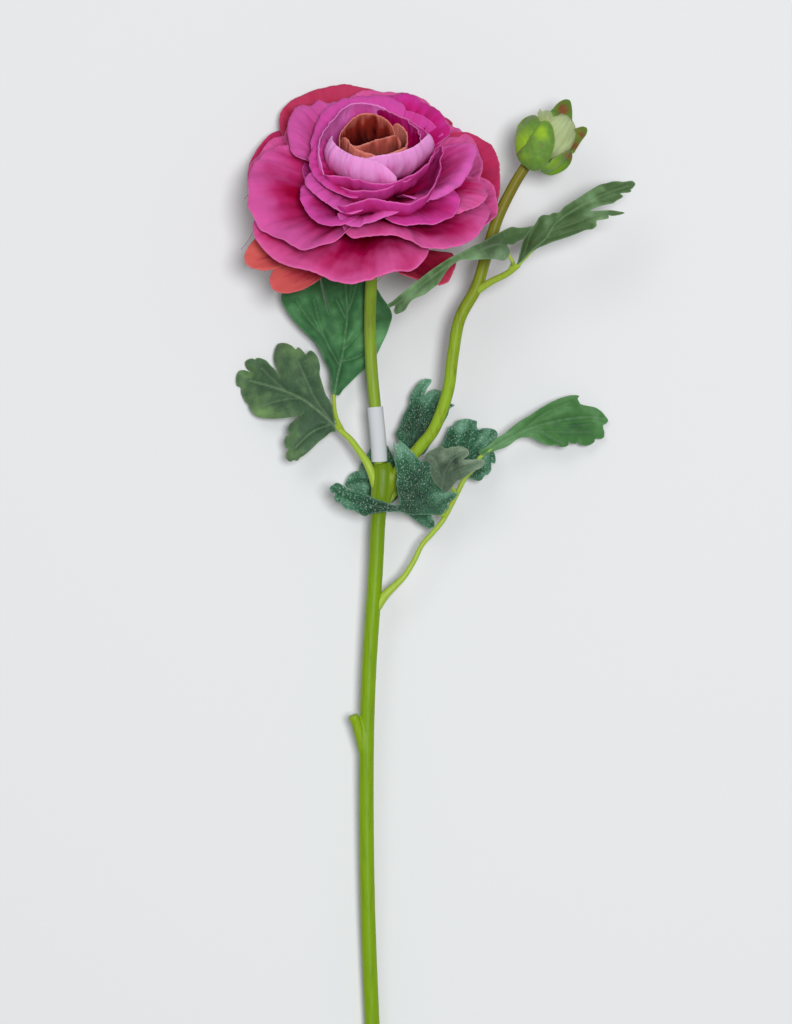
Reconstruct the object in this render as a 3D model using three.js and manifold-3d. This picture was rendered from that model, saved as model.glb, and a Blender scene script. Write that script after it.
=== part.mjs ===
// A single ranunculus spray: one full double bloom, one bud and four compound leaves on a
// jointed green stem, with a bare paper band wrapped round the bloom's stalk. It lies on its
// back on a surface. Millimetres, X across the spray, Y along the stem towards the bloom,
// Z up from the surface. Petals, sepals and leaflets are thin curved blades; each kind of
// petal is fused to its own hub, and the hubs are stacked on the bloom's axis.
import * as THREE from "three";
import { mergeVertices } from "three/addons/utils/BufferGeometryUtils.js";
import Module from "manifold-3d";

const wasm = await Module();
wasm.setup();

// Driving dimensions
const BOX_MIDDLE = { x: 21.9, y: 123.5 }; // middle of the whole spray, in the drawing's X and Y
const STEM_RADIUS = 2.85;
const STEM_END_Y = -105; // the cut end
const JOINT_Y = 209; // top of the main stem, where the bloom's stalk plugs in
const STALK_RADIUS = 2.25; // the bloom's and the bud's stalks
const PLUG_CLEARANCE = 0.3; // round a stalk in its socket, and between touching pieces
const PETAL_THICKNESS = 0.65;
const LEAF_THICKNESS = 0.62;
const BLOOM = { x: 0, y: 314.2, z: 36.1, tilt: 45 }; // middle of its widest ring of petals
const BUD = { x: 57.2, y: 322.0, z: 33.6, lean: 28, lift: 8 }; // foot of the bud
const RIB_RADIUS = 0.75; // the stalk's rib under a leaflet
const SPOKE_GAP = 2; // least angle in degrees between two spokes of a leaflet
const BAND = { from: 0.053, to: 0.24, thickness: 0.35, clearance: 0.4 }; // shares of the bloom's stalk

const COLOURS = {
  stem: 0x86a02c,
  budStalk: 0x7d8a24,
  leafStalk: 0x93ae3c,
  leaf: 0x35633c,
  paper: 0xd9dcdf,
  calyx: 0x7d9a34,
  guard: 0xb0405c,
  outer: 0xb52d78,
  middle: 0xc04a92,
  inner: 0xd27abf,
  centre: 0xa85a4c,
  budPetals: 0xa9b48a,
  sepals: 0x6f9a34,
};
const ROUGHNESS = { plastic: 0.45, cloth: 0.7, paper: 0.85 };

const rad = THREE.MathUtils.degToRad;
const mix = THREE.MathUtils.lerp;
const smooth = THREE.MathUtils.smoothstep;

// Closed geometry to a solid that can be cut and joined, and back

function solidOf(geometry) {
  const bare = new THREE.BufferGeometry();
  bare.setAttribute("position", geometry.getAttribute("position"));
  bare.setIndex(geometry.index);
  const merged = mergeVertices(bare, 1e-4);
  return new wasm.Manifold(
    new wasm.Mesh({
      numProp: 3,
      vertProperties: merged.attributes.position.array,
      triVerts: new Uint32Array(merged.index.array),
    }),
  );
}

// Joins solids and keeps the one outer body: scraps go, and pockets that joining sealed are filled.
function fused(solids) {
  const joined = solids.reduce((whole, next) => whole.add(next));
  const bodies = joined.decompose().filter((body) => body.volume() > 0);
  return bodies.sort((a, b) => b.volume() - a.volume())[0];
}

function geometryOf(solid) {
  const mesh = solid.getMesh();
  const geometry = new THREE.BufferGeometry();
  geometry.setAttribute("position", new THREE.BufferAttribute(new Float32Array(mesh.vertProperties), 3));
  geometry.setIndex(new THREE.BufferAttribute(new Uint32Array(mesh.triVerts), 1));
  geometry.computeVertexNormals();
  return geometry;
}

// Everything under the surface that the spray lies on, as seen from inside a turned group.
function groundIn(group) {
  const slab = new THREE.BoxGeometry(800, 1200, 60).translate(0, 0, -30);
  group.updateMatrixWorld(true);
  return solidOf(slab.applyMatrix4(group.matrixWorld.clone().invert()));
}

// Thin blades: pointAt(i, j, lift) gives a point of the blade, lifted off its middle surface

function bladeOf(pointAt, across, along, thickness) {
  const positions = [];
  for (const lift of [thickness / 2, -thickness / 2])
    for (let i = 0; i <= across; i++)
      for (let j = 0; j <= along; j++) positions.push(...pointAt(i, j, lift).toArray());
  const top = (i, j) => i * (along + 1) + j;
  const under = (i, j) => (across + 1) * (along + 1) + top(i, j);
  const index = [];
  for (let i = 0; i < across; i++)
    for (let j = 0; j < along; j++) {
      index.push(top(i, j), top(i + 1, j), top(i + 1, j + 1));
      index.push(top(i, j), top(i + 1, j + 1), top(i, j + 1));
      index.push(under(i, j), under(i + 1, j + 1), under(i + 1, j));
      index.push(under(i, j), under(i, j + 1), under(i + 1, j + 1));
    }
  const edge = [];
  for (let i = 0; i < across; i++) edge.push([i, 0]);
  for (let j = 0; j < along; j++) edge.push([across, j]);
  for (let i = across; i > 0; i--) edge.push([i, along]);
  for (let j = along; j > 0; j--) edge.push([0, j]);
  edge.forEach((a, k) => {
    const b = edge[(k + 1) % edge.length];
    index.push(top(...a), under(...a), under(...b));
    index.push(top(...a), under(...b), top(...b));
  });
  const geometry = new THREE.BufferGeometry();
  geometry.setAttribute("position", new THREE.Float32BufferAttribute(positions, 3));
  geometry.setIndex(index);
  return solidOf(geometry);
}

// Round stems: a circle carried along a curve through stations [x, y, z, radius]

function stemCurve(stations) {
  const points = stations.map(([x, y, z]) => new THREE.Vector3(x, y, z));
  return new THREE.CatmullRomCurve3(points, false, "catmullrom", 0.5);
}

function stemOf(stations, sides, steps, extra = 0, turn = new THREE.Matrix4()) {
  const curve = stemCurve(stations);
  const up = new THREE.Vector3(0, 0, 1);
  const positions = [];
  for (let k = 0; k <= steps; k++) {
    const t = k / steps;
    const middle = curve.getPoint(t);
    const side = curve.getTangent(t).cross(up).normalize();
    const over = side.clone().cross(curve.getTangent(t));
    const place = t * (stations.length - 1);
    const before = Math.min(Math.floor(place), stations.length - 2);
    const radius = extra + mix(stations[before][3], stations[before + 1][3], place - before);
    for (let n = 0; n < sides; n++) {
      const angle = (2 * Math.PI * (n + 0.5)) / sides;
      const point = middle.clone();
      point.addScaledVector(side, radius * Math.cos(angle));
      point.addScaledVector(over, radius * Math.sin(angle));
      positions.push(point.x, point.y, point.z);
    }
  }
  const first = curve.getPoint(0);
  const last = curve.getPoint(1);
  positions.push(first.x, first.y, first.z, last.x, last.y, last.z);
  const count = (steps + 1) * sides;
  const index = [];
  for (let n = 0; n < sides; n++) {
    const next = (n + 1) % sides;
    for (let k = 0; k < steps; k++) {
      const a = k * sides;
      const b = a + sides;
      index.push(a + n, b + n, b + next, a + n, b + next, a + next);
    }
    index.push(count, n, next);
    index.push(count + 1, steps * sides + next, steps * sides + n);
  }
  const geometry = new THREE.BufferGeometry();
  geometry.setAttribute("position", new THREE.Float32BufferAttribute(positions, 3));
  geometry.setIndex(index);
  return solidOf(geometry.applyMatrix4(turn));
}

// Petals and sepals: blades on a cup-shaped profile round an axis

// A profile from the root out to the rim, as a radius from the axis and a height along it.
function profileAt(t, root, belly, rim) {
  const bezier = (a, b, c, d) =>
    a * (1 - t) ** 3 + 3 * b * t * (1 - t) ** 2 + 3 * c * t * t * (1 - t) + d * t ** 3;
  const radius = bezier(root.radius, rim.radius * belly.foot, rim.radius * belly.full, rim.radius);
  const lowShoulder = root.height + belly.sag;
  const highShoulder = mix(root.height, rim.height, belly.rise);
  return [radius, bezier(root.height, lowShoulder, highShoulder, rim.height)];
}

// A petal row is [azimuth, half width, rim radius, rim height, swirl, lip], in degrees and mm:
// swirl sets one side edge out and the other in, and the lip turns the rim outwards.
function petalPoint(layer, petal, number, x, t, lift) {
  const [azimuth, half, reach, rise, swirl, lip] = petal;
  const roundedEnd = 1 - layer.corner * Math.abs(x) ** 3;
  const along = t * roundedEnd;
  const rim = { radius: reach, height: rise };
  const [r0, s0] = profileAt(along, layer.root, layer.belly, rim);
  const [r1, s1] = profileAt(along + 0.01, layer.root, layer.belly, rim);
  const length = Math.hypot(r1 - r0, s1 - s0);
  const free = smooth(along, 0.05, 0.5);
  const ripple = Math.sin(layer.ripples * x * Math.PI + 1.7 * number) * along ** 3;
  const turned = Math.max(0, (along - 0.78) / 0.22) ** 2;
  const curl = free * (swirl * x - layer.cup * x * x) + layer.ruffle * ripple + lip * turned;
  const out = curl + lift;
  const radius = r0 + (out * (s1 - s0)) / length;
  const height = s0 - (out * (r1 - r0)) / length;
  const widening = mix(layer.waist, 1, smooth(along, 0.1, 0.6));
  const narrowing = mix(1, layer.tipWidth ?? 1, smooth(along, 0.55, 1));
  const angle = rad(azimuth + half * x * widening * narrowing);
  return new THREE.Vector3(radius * Math.cos(angle), radius * Math.sin(angle), height);
}

function petalsOf(layer) {
  const { across, along } = layer;
  return layer.petals.map((petal, number) => {
    const pointAt = (i, j, lift) =>
      petalPoint(layer, petal, number, (2 * i) / across - 1, j / along, lift);
    return bladeOf(pointAt, across, along, PETAL_THICKNESS);
  });
}

// A hub is a plain disc on the axis that roots sink into.
function hubOf(radius, low, high) {
  const outline = [
    [0, low],
    [radius, low],
    [radius, high],
    [0, high],
  ];
  const points = outline.map(([r, h]) => new THREE.Vector2(r, h));
  return solidOf(new THREE.LatheGeometry(points, 12).rotateX(Math.PI / 2));
}

const GRID = { across: 5, along: 5 };

const guardLayer = {
  ...GRID,
  root: { radius: 3, height: -22.2 },
  belly: { foot: 0.55, full: 0.96, sag: 0, rise: 0.42 },
  corner: 0.2,
  cup: 0,
  ruffle: 0.8,
  ripples: 1.3,
  waist: 0.45,
  petals: [
    [112, 36, 50, 6, 1.2, 0],
    [160, 28, 49, -1, 1.2, 0],
    [203, 20, 51.5, -14, 1.2, 0.5],
    [229, 21, 50.5, -14.5, 1.2, 0.5],
    [304, 28, 49.5, -8.5, 1.2, 0.5],
    [25, 34, 49.5, -4, 1.2, 0],
  ],
};

const outerLayers = [
  {
    ...GRID,
    root: { radius: 3, height: -19.4 },
    belly: { foot: 0.5, full: 0.92, sag: 0.4, rise: 0.42 },
    corner: 0.2,
    cup: 0.3,
    ruffle: 0.9,
    ripples: 1.4,
    waist: 0.45,
    petals: [
      [238, 54, 51, -2.5, 1.3, 0.8],
      [314, 43, 48, 1, 1.3, 0.8],
      [12, 38, 43, 3, 1.3, 0],
      [66, 38, 45.5, 5, 1.3, 0],
      [124, 38, 45, 4, 1.3, 0],
      [184, 38, 46.5, 2, 1.3, 0],
    ],
  },
  {
    ...GRID,
    root: { radius: 3, height: -17.2 },
    belly: { foot: 0.48, full: 0.9, sag: 0.8, rise: 0.42 },
    corner: 0.2,
    cup: 0.3,
    ruffle: 0.9,
    ripples: 1.5,
    waist: 0.45,
    petals: [
      [205, 48, 45.5, 6.5, 1.3, 1.5],
      [140, 34, 40.5, 12, 1.3, 0.8],
      [92, 36, 41, 9, 1.3, 0.8],
      [40, 36, 39.5, 9, 1.3, 0.8],
      [342, 36, 41, 6, 1.3, 0.8],
      [288, 46, 45.5, 6.5, 1.3, 1.5],
    ],
  },
];

const middleLayers = [
  {
    ...GRID,
    root: { radius: 3, height: -13.8 },
    belly: { foot: 0.5, full: 0.98, sag: 0.6, rise: 0.45 },
    corner: 0.2,
    cup: 0.3,
    ruffle: 0.7,
    ripples: 1.4,
    waist: 0.5,
    petals: [
      [275, 44, 36, 14.5, 1.2, 1.5],
      [210, 42, 36, 14.5, 1.2, 1.5],
      [150, 42, 35.5, 15, 1.2, 0.8],
      [88, 42, 35.5, 15, 1.2, 0.8],
      [20, 42, 35.5, 14, 1.2, 0.8],
    ],
  },
  {
    ...GRID,
    root: { radius: 3, height: -11.8 },
    belly: { foot: 0.5, full: 1.02, sag: 0.6, rise: 0.45 },
    corner: 0.2,
    cup: 0.3,
    ruffle: 0.6,
    ripples: 1.4,
    waist: 0.5,
    petals: [
      [227, 38, 31, 19.5, 1.2, 1.2],
      [276, 38, 30.5, 20, 1.2, 1.2],
      [336, 42, 32, 19, 1.6, 3.2],
      [45, 42, 30.5, 20, 1.2, 0.6],
      [110, 42, 30.5, 20.5, 1.2, 0.6],
      [170, 38, 30.5, 20, 1.2, 0.6],
    ],
  },
  {
    ...GRID,
    root: { radius: 3, height: -9.8 },
    belly: { foot: 0.52, full: 1.08, sag: 0.6, rise: 0.45 },
    corner: 0.16,
    cup: 0.3,
    ruffle: 0.5,
    ripples: 1.2,
    waist: 0.55,
    petals: [
      [250, 58, 25.2, 23.5, 1.1, 0.8],
      [340, 58, 25.2, 24, 1.1, 0.8],
      [70, 58, 25.2, 24.5, 1.1, 0.5],
      [160, 58, 25.2, 24, 1.1, 0.5],
    ],
  },
];

const innerLayer = {
  ...GRID,
  root: { radius: 3, height: -6.2 },
  belly: { foot: 0.6, full: 1.22, sag: 0.4, rise: 0.5 },
  corner: 0.14,
  cup: 0.2,
  ruffle: 0.3,
  ripples: 1.1,
  waist: 0.6,
  petals: [
    [232, 62, 18.6, 27, 1, 0.3],
    [325, 56, 19.2, 27.5, 1, 0.3],
    [40, 50, 18.4, 26.5, 1, 0],
    [120, 60, 18.6, 27.5, 1, 0],
  ],
};

const centreLayer = {
  ...GRID,
  root: { radius: 2, height: -2.4 },
  belly: { foot: 0.75, full: 1.12, sag: 0.4, rise: 0.5 },
  corner: 0.08,
  cup: 0.2,
  ruffle: 0.2,
  ripples: 1,
  waist: 0.7,
  petals: [
    [270, 82, 12.4, 26, 0.8, 0],
    [30, 78, 12.4, 26.6, 0.8, 0],
    [150, 78, 12.4, 26.8, 0.8, 0],
    [300, 70, 7.2, 23, 0.7, 0],
    [120, 70, 7, 21, 0.7, 0],
  ],
};

// The bud: a closed ball of petals in five sepals, on its own upright axis

const sepalLayer = {
  across: 4,
  along: 5,
  root: { radius: 1.2, height: 0.2 },
  belly: { foot: 1.25, full: 1.4, sag: -0.6, rise: 0.5 },
  corner: 0.3,
  cup: 0.3,
  ruffle: 0.25,
  ripples: 1.2,
  waist: 0.9,
  tipWidth: 0.5,
  petals: [
    [270, 33, 8, 18.5, 0, 0.6],
    [200, 30, 8.6, 16.5, 0, 1],
    [338, 30, 10.6, 8, 0, 1.6],
    [50, 30, 14.2, 14, 0, 3],
    [125, 32, 7.6, 20, 0, 0.6],
  ],
};

const BUD_BODY = { radius: 7.4, height: 19.4, foot: 1.1 };

function budBody() {
  const outline = [new THREE.Vector2(0, BUD_BODY.foot)];
  for (let k = 1; k < 9; k++) {
    const t = k / 9;
    const swell = Math.sin(Math.PI * t ** 0.9) ** 0.72;
    outline.push(new THREE.Vector2(BUD_BODY.radius * swell, mix(BUD_BODY.foot, BUD_BODY.height, t)));
  }
  outline.push(new THREE.Vector2(0, BUD_BODY.height));
  const geometry = new THREE.LatheGeometry(outline, 18).rotateX(Math.PI / 2);
  const position = geometry.getAttribute("position");
  for (let k = 0; k < position.count; k++) {
    const angle = Math.atan2(position.getY(k), position.getX(k));
    const fold = 1 + 0.05 * Math.sin(3 * angle + position.getZ(k) / 7);
    position.setXY(k, position.getX(k) * fold, position.getY(k) * fold);
  }
  return solidOf(geometry);
}

// Leaflets: lobed blades on a curved midrib

function ribCurve(leaflet) {
  const points = leaflet.rib.map((p) => new THREE.Vector3(...p));
  return new THREE.CatmullRomCurve3(points, false, "catmullrom", 0.5);
}

// A point of the blade at a distance along the midrib, a distance to its left and a height over it.
function onLeaflet(leaflet, along, left, height) {
  const curve = ribCurve(leaflet);
  const t = along / curve.getLength();
  const inside = THREE.MathUtils.clamp(t, 0, 1);
  const heading = curve.getTangent(inside);
  const face = new THREE.Vector3(...leaflet.face);
  if (leaflet.tipFace) face.lerp(new THREE.Vector3(...leaflet.tipFace), inside);
  const side = face.cross(heading).normalize();
  const over = heading.clone().cross(side);
  const point = curve.getPoint(inside).addScaledVector(heading, (t - inside) * curve.getLength());
  return point.addScaledVector(side, left).addScaledVector(over, height);
}

// Spokes from the base to the margin: each lobe is a rounded arch with scalloped teeth.
function spokesOf(leaflet, samples) {
  const length = ribCurve(leaflet).getLength();
  const spokes = [];
  let next = -180;
  leaflet.lobes.forEach(([middle, half, reach, teeth], n) => {
    const count = samples * teeth;
    for (let k = 0; k <= count; k++) {
      const x = Math.sin((Math.PI / 2) * ((2 * k) / count - 1));
      const arch = (1 - Math.abs(x) ** 3) ** (1 / 3);
      const scallop = 1 - leaflet.toothDepth * (1 - Math.abs(Math.sin((Math.PI * teeth * k) / count)));
      const web = leaflet.webs[x < 0 ? n : n + 1];
      const angle = middle + half * x;
      if (angle < next) continue;
      spokes.push([rad(angle), length * Math.max(web, reach * arch * scallop)]);
      next = angle + SPOKE_GAP;
    }
  });
  return spokes;
}

function lobedBlade(leaflet) {
  const length = ribCurve(leaflet).getLength();
  const spokes = spokesOf(leaflet, 2);
  const count = leaflet.rows ?? 3;
  const pointAt = (n, j, lift) => {
    const [angle, reach] = spokes[n];
    const r = reach * mix(0.07, 1, j / count);
    const left = r * Math.sin(angle);
    const ripple = leaflet.wave * Math.sin(0.9 * n) * (j / count) ** 2;
    const height = leaflet.fold * Math.abs(left) + ripple;
    return onLeaflet(leaflet, r * Math.cos(angle), left, height - lift);
  };
  return bladeOf(pointAt, spokes.length - 1, count, LEAF_THICKNESS);
}

// A long blade has its half widths at even steps along the midrib, right and left of it.
function longBlade(leaflet) {
  const length = ribCurve(leaflet).getLength();
  const { right, left } = leaflet.widths;
  const steps = left.length - 1;
  const pointAt = (i, j, lift) => {
    const side = (i - 2) / 2;
    const width = side < 0 ? right[j] : left[j];
    const height = leaflet.fold * Math.abs(side) * width;
    return onLeaflet(leaflet, (length * j) / steps, side * width, height - lift);
  };
  return bladeOf(pointAt, 4, steps, LEAF_THICKNESS);
}

function leafletOf(leaflet) {
  return leaflet.widths ? longBlade(leaflet) : lobedBlade(leaflet);
}

// The stalk's rib runs under the midrib, a clearance below the blade.
function ribUnder(leaflet) {
  const length = ribCurve(leaflet).getLength();
  const below = -(LEAF_THICKNESS / 2 + PLUG_CLEARANCE + RIB_RADIUS);
  const share = leaflet.ribShare ?? 0.5;
  const stations = [];
  for (let k = 0; k <= 3; k++) {
    const at = onLeaflet(leaflet, mix(-0.02, share, k / 3) * length, 0, below);
    stations.push([at.x, at.y, at.z, mix(RIB_RADIUS, 0.4, k / 3)]);
  }
  return stations;
}

const leaflets = {
  leaflet_bud_right: {
    rib: [[55, 284.6, 43.5], [74.9, 303.4, 41], [97.3, 315.4, 35]],
    face: [-0.27, 0.37, 0.89],
    lobes: [[-27, 10, 0.56, 2], [-9, 7, 0.88, 2], [3, 7, 1, 2], [24, 12, 0.5, 2]],
    webs: [0.3, 0.5, 0.62, 0.48, 0.3],
    toothDepth: 0.08,
    fold: 0.45,
    wave: 0.3,
  },
  leaflet_bud_left: {
    rib: [[52.8, 287, 44.8], [46.5, 290.5, 59], [38.7, 288, 73], [27.7, 281.6, 78], [5.4, 266.4, 71]],
    face: [0.2, 0.8, 0.5],
    widths: {
      right: [1.4, 2.6, 8, 4.6, 4, 4, 4.2, 4.6, 5, 5.4, 5.6, 5, 2.2],
      left: [1.4, 2.6, 8.6, 5.4, 4.4, 4.2, 4.4, 4.8, 5.2, 5.4, 5, 3.6, 1.2],
    },
    fold: 0.25,
    ribShare: 0.3,
  },
  leaflet_left_low: {
    rib: [[-14.4, 224, 18.6], [-31.6, 236.2, 13.4], [-51.2, 243.4, 0.2]],
    face: [-0.2, 0.1, 0.97],
    lobes: [[-33, 16, 0.8, 3], [-1, 15, 1, 3], [44, 22, 0.46, 3]],
    webs: [0.3, 0.66, 0.32, 0.2],
    toothDepth: 0.1,
    fold: 0.12,
    wave: 0.3,
  },
  leaflet_left_high: {
    rib: [[-14, 235.6, 12.6], [-12.4, 260, 11], [-8.4, 284, 8]],
    face: [0.1, 0, 0.99],
    lobes: [[-29, 14, 0.85, 3], [-3, 11, 1, 3], [20, 12, 0.96, 3]],
    webs: [0.36, 0.82, 0.74, 0.3],
    toothDepth: 0.08,
    fold: 0.1,
    wave: 0.3,
  },
  leaflet_right_end: {
    rib: [[39.6, 213.6, 19.5], [58.5, 224.2, 14.5], [87, 225.4, -1.4]],
    face: [0.1, -0.25, 0.96],
    widths: {
      right: [2.2, 3, 4, 5.4, 8.8, 9.6, 9, 8.6, 5],
      left: [2.2, 2.8, 3.6, 5.4, 7.6, 9.2, 8.4, 7, 4],
    },
    fold: 0.25,
  },
  leaflet_right_curled: {
    rib: [[25.2, 196.4, 28], [29.5, 205.5, 35], [35.6, 212.4, 35]],
    face: [0.2, -0.1, -0.97],
    lobes: [[-44, 20, 0.8, 2], [-4, 11, 1, 2], [19, 10, 1, 2]],
    webs: [0.4, 0.6, 0.72, 0.4],
    toothDepth: 0.08,
    fold: 0.2,
    wave: 0.3,
  },
  leaflet_right_front: {
    rib: [[22.8, 192.2, 22.5], [5.5, 198.2, 28], [-16.4, 201.4, 26]],
    face: [0.1, 0.1, 0.98],
    lobes: [[-98, 24, 0.3, 3], [-46, 23, 0.72, 4], [5, 14, 1, 2], [38, 14, 0.3, 1]],
    webs: [0.12, 0.24, 0.5, 0.5, 0.15],
    toothDepth: 0.1,
    fold: 0.1,
    wave: 0.3,
    rows: 6,
    ribShare: 0.3,
  },
  leaflet_back_up: {
    rib: [[15, 215.4, 10.5], [17, 227, 11.4], [21.4, 241, 8]],
    face: [0, 0, 1],
    lobes: [[-25, 13, 0.86, 2], [3, 14, 1, 2], [40, 20, 0.5, 2]],
    webs: [0.4, 0.64, 0.4, 0.3],
    toothDepth: 0.1,
    fold: 0.15,
    wave: 0.3,
  },
  leaflet_back_right: {
    rib: [[29.4, 204.8, 10.5], [33.8, 214.4, 10.9], [39.4, 224.4, 7]],
    face: [0.1, 0, 1],
    lobes: [[-66, 16, 0.6, 2], [-30, 16, 0.9, 3], [8, 17, 1, 3], [44, 14, 0.62, 2]],
    webs: [0.35, 0.5, 0.7, 0.56, 0.35],
    toothDepth: 0.1,
    fold: 0.12,
    wave: 0.3,
  },
  leaflet_back_left: {
    rib: [[8, 200.2, 8.8], [-1, 202, 9], [-10.8, 203.6, 6]],
    face: [0, 0, 1],
    lobes: [[-38, 17, 0.95, 2], [0, 16, 1, 2], [32, 14, 0.7, 2]],
    webs: [0.4, 0.6, 0.6, 0.4],
    toothDepth: 0.1,
    fold: 0.1,
    wave: 0.3,
  },
  leaflet_back_low: {
    rib: [[12.6, 197.4, 12.8], [17.4, 191.8, 13.6], [22.4, 185.8, 13]],
    face: [0, 0, 1],
    lobes: [[-18, 14, 0.8, 1], [6, 12, 1, 2]],
    webs: [0.4, 0.6, 0.4],
    toothDepth: 0.1,
    fold: 0.1,
    wave: 0.1,
  },
};

// Stations of the stems and of the leaf stalks: [x, y, z, radius]

const mainStations = [
  [4.6, STEM_END_Y, 2.4, STEM_RADIUS],
  [4, -92, 3, STEM_RADIUS],
  [1.6, -50, 5.6, STEM_RADIUS],
  [-0.8, 0, 8.3, STEM_RADIUS],
  [-2.5, 47, 10.8, STEM_RADIUS],
  [-2.9, 95, 13.3, STEM_RADIUS],
  [-2, 131, 15.2, STEM_RADIUS],
  [0.5, 169, 17.2, STEM_RADIUS],
  [2, 195, 18.6, 3],
  [2.5, 203, 19, 3.7],
  [2.4, JOINT_Y, 19.3, 3.3],
];

const bloomStalkStations = [
  [2.4, 205, 19.1, STALK_RADIUS],
  [1.6, 219, 20, STALK_RADIUS],
  [0.3, 232.5, 20.8, STALK_RADIUS],
  [-1, 247.6, 20.8, STALK_RADIUS],
  [-1.5, 262.7, 19.2, STALK_RADIUS],
  [-1.2, 276, 17, STALK_RADIUS],
  [-0.6, 286, 15.6, STALK_RADIUS],
  [-0.1, 292.4, 16.4, STALK_RADIUS],
  [0, 296.2, 18.8, STALK_RADIUS],
];

const budStalkStations = [
  [7.2, 204.8, 19.3, STALK_RADIUS],
  [10.4, 208.8, 19.8, STALK_RADIUS],
  [17.4, 216.6, 21.2, STALK_RADIUS],
  [22.8, 223.7, 22.6, STALK_RADIUS],
  [27.6, 237, 24.8, STALK_RADIUS],
  [29.4, 250, 26.6, STALK_RADIUS],
  [32, 264, 28.2, STALK_RADIUS],
  [38.2, 275.6, 29.4, STALK_RADIUS],
  [41.4, 286, 30.4, STALK_RADIUS],
  [46, 301, 31.6, 2.1],
  [51.8, 313, 32.6, 2],
  [56.6, 320.8, 33.4, 2],
];

const stubStations = [
  [-2.8, 99, 13.6, 2.4],
  [-4.6, 106, 14.6, 2.3],
  [-6.4, 111.6, 16, 1.9],
  [-7.9, 115.6, 17, 1.9],
];

const budSocketStations = [
  [3, 197, 18.6, 2.8],
  [5.4, 202.6, 19, 3.2],
  [8, 206.4, 19.5, 3],
];

// Each leaf: its stalk, and the branch that leads from the stalk to each leaflet's rib.
const leafStalks = {
  leaf_stalk_bud: {
    stalk: [
      [38.5, 274.4, 29.6, 1.5],
      [43.2, 277.4, 33, 1.4],
      [49.2, 280.2, 37.6, 1.25],
      [53.6, 283.2, 41.4, 1],
    ],
    branches: {
      leaflet_bud_right: [[53, 282.8, 40.9, 0.95]],
      leaflet_bud_left: [[50, 280.6, 38.2, 1], [51.4, 283.4, 40.8, 0.9]],
    },
  },
  leaf_stalk_left: {
    stalk: [
      [-0.6, 200.6, 20.2, 1.8],
      [-3.4, 212.2, 20.4, 1.5],
      [-8.8, 219.6, 18.6, 1.25],
      [-13, 223, 17.5, 1],
    ],
    branches: {
      leaflet_left_low: [[-12.2, 222.4, 17.6, 0.95]],
      leaflet_left_high: [[-11.4, 221.6, 17.8, 1], [-14.4, 228, 14.2, 0.9]],
    },
  },
  leaf_stalk_right: {
    stalk: [
      [1.6, 157, 16.6, 1.9],
      [8.4, 166.4, 16.8, 1.6],
      [16.8, 173.4, 17.2, 1.25],
      [21, 183, 17.6, 1.2],
      [26.6, 191, 18, 1.15],
      [33.8, 203.6, 18.2, 1.1],
      [38, 211, 18.3, 1],
    ],
    branches: {
      leaflet_right_end: [[37.4, 210, 18.3, 0.95]],
      leaflet_right_front: [[23.6, 187, 17.8, 1], [25, 190.6, 18.8, 0.9]],
      leaflet_right_curled: [[28.4, 194.2, 18, 1], [28.2, 195.4, 22, 0.9]],
    },
  },
  leaf_stalk_back: {
    stalk: [
      [2.2, 194, 17.2, 1.7],
      [7.4, 199, 12, 1.4],
      [12, 207, 10, 1.1],
      [14.6, 213.4, 9.4, 1],
    ],
    branches: {
      leaflet_back_up: [[14.2, 212.6, 9.4, 0.95]],
      leaflet_back_right: [[9.6, 202.8, 10.9, 1], [19, 201.6, 9.4, 0.9]],
      leaflet_back_left: [[8, 200.2, 11.4, 1], [9.6, 200.6, 9.2, 0.9]],
      leaflet_back_low: [[8, 200.2, 11.4, 1], [10, 199.4, 11.6, 0.9]],
    },
  },
};

// Assembly

const flower = new THREE.Group();
flower.position.set(-BOX_MIDDLE.x, -BOX_MIDDLE.y, 0);

const bloom = new THREE.Group();
bloom.position.set(BLOOM.x, BLOOM.y, BLOOM.z);
bloom.rotation.x = -rad(BLOOM.tilt);
flower.add(bloom);

const bud = new THREE.Group();
bud.position.set(BUD.x, BUD.y, BUD.z);
bud.rotation.order = "ZXY";
bud.rotation.z = -rad(BUD.lean);
bud.rotation.x = rad(BUD.lift - 90);
flower.add(bud);

function addTo(group, name, solid, colour, roughness) {
  const material = new THREE.MeshStandardMaterial({ color: colour, roughness, metalness: 0 });
  const mesh = new THREE.Mesh(geometryOf(solid), material);
  mesh.name = name;
  group.add(mesh);
}

// Stems, with sockets bored where the stalks plug in

function leafStalkOf({ stalk, branches }) {
  const parts = [stemOf(stalk, 6, 3 * (stalk.length - 1))];
  for (const [name, branch] of Object.entries(branches)) {
    const stations = [...branch, ...ribUnder(leaflets[name])];
    parts.push(stemOf(stations, 5, 2 * stations.length));
  }
  return fused(parts);
}

function mainStemOf() {
  let stem = fused([
    stemOf(mainStations, 10, 20),
    stemOf(stubStations, 8, 5),
    stemOf(budSocketStations, 8, 4),
  ]);
  const plugged = [bloomStalkStations, budStalkStations];
  for (const { stalk } of Object.values(leafStalks)) plugged.push(stalk);
  for (const stations of plugged)
    stem = stem.subtract(stemOf(stations.slice(0, 3), 8, 4, PLUG_CLEARANCE));
  return fused([stem.subtract(groundIn(flower))]);
}

function budStalkOf() {
  const stalk = stemOf(budStalkStations, 8, 22);
  const socket = stemOf(leafStalks.leaf_stalk_bud.stalk, 8, 9, PLUG_CLEARANCE);
  return fused([stalk.subtract(socket)]);
}

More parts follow.
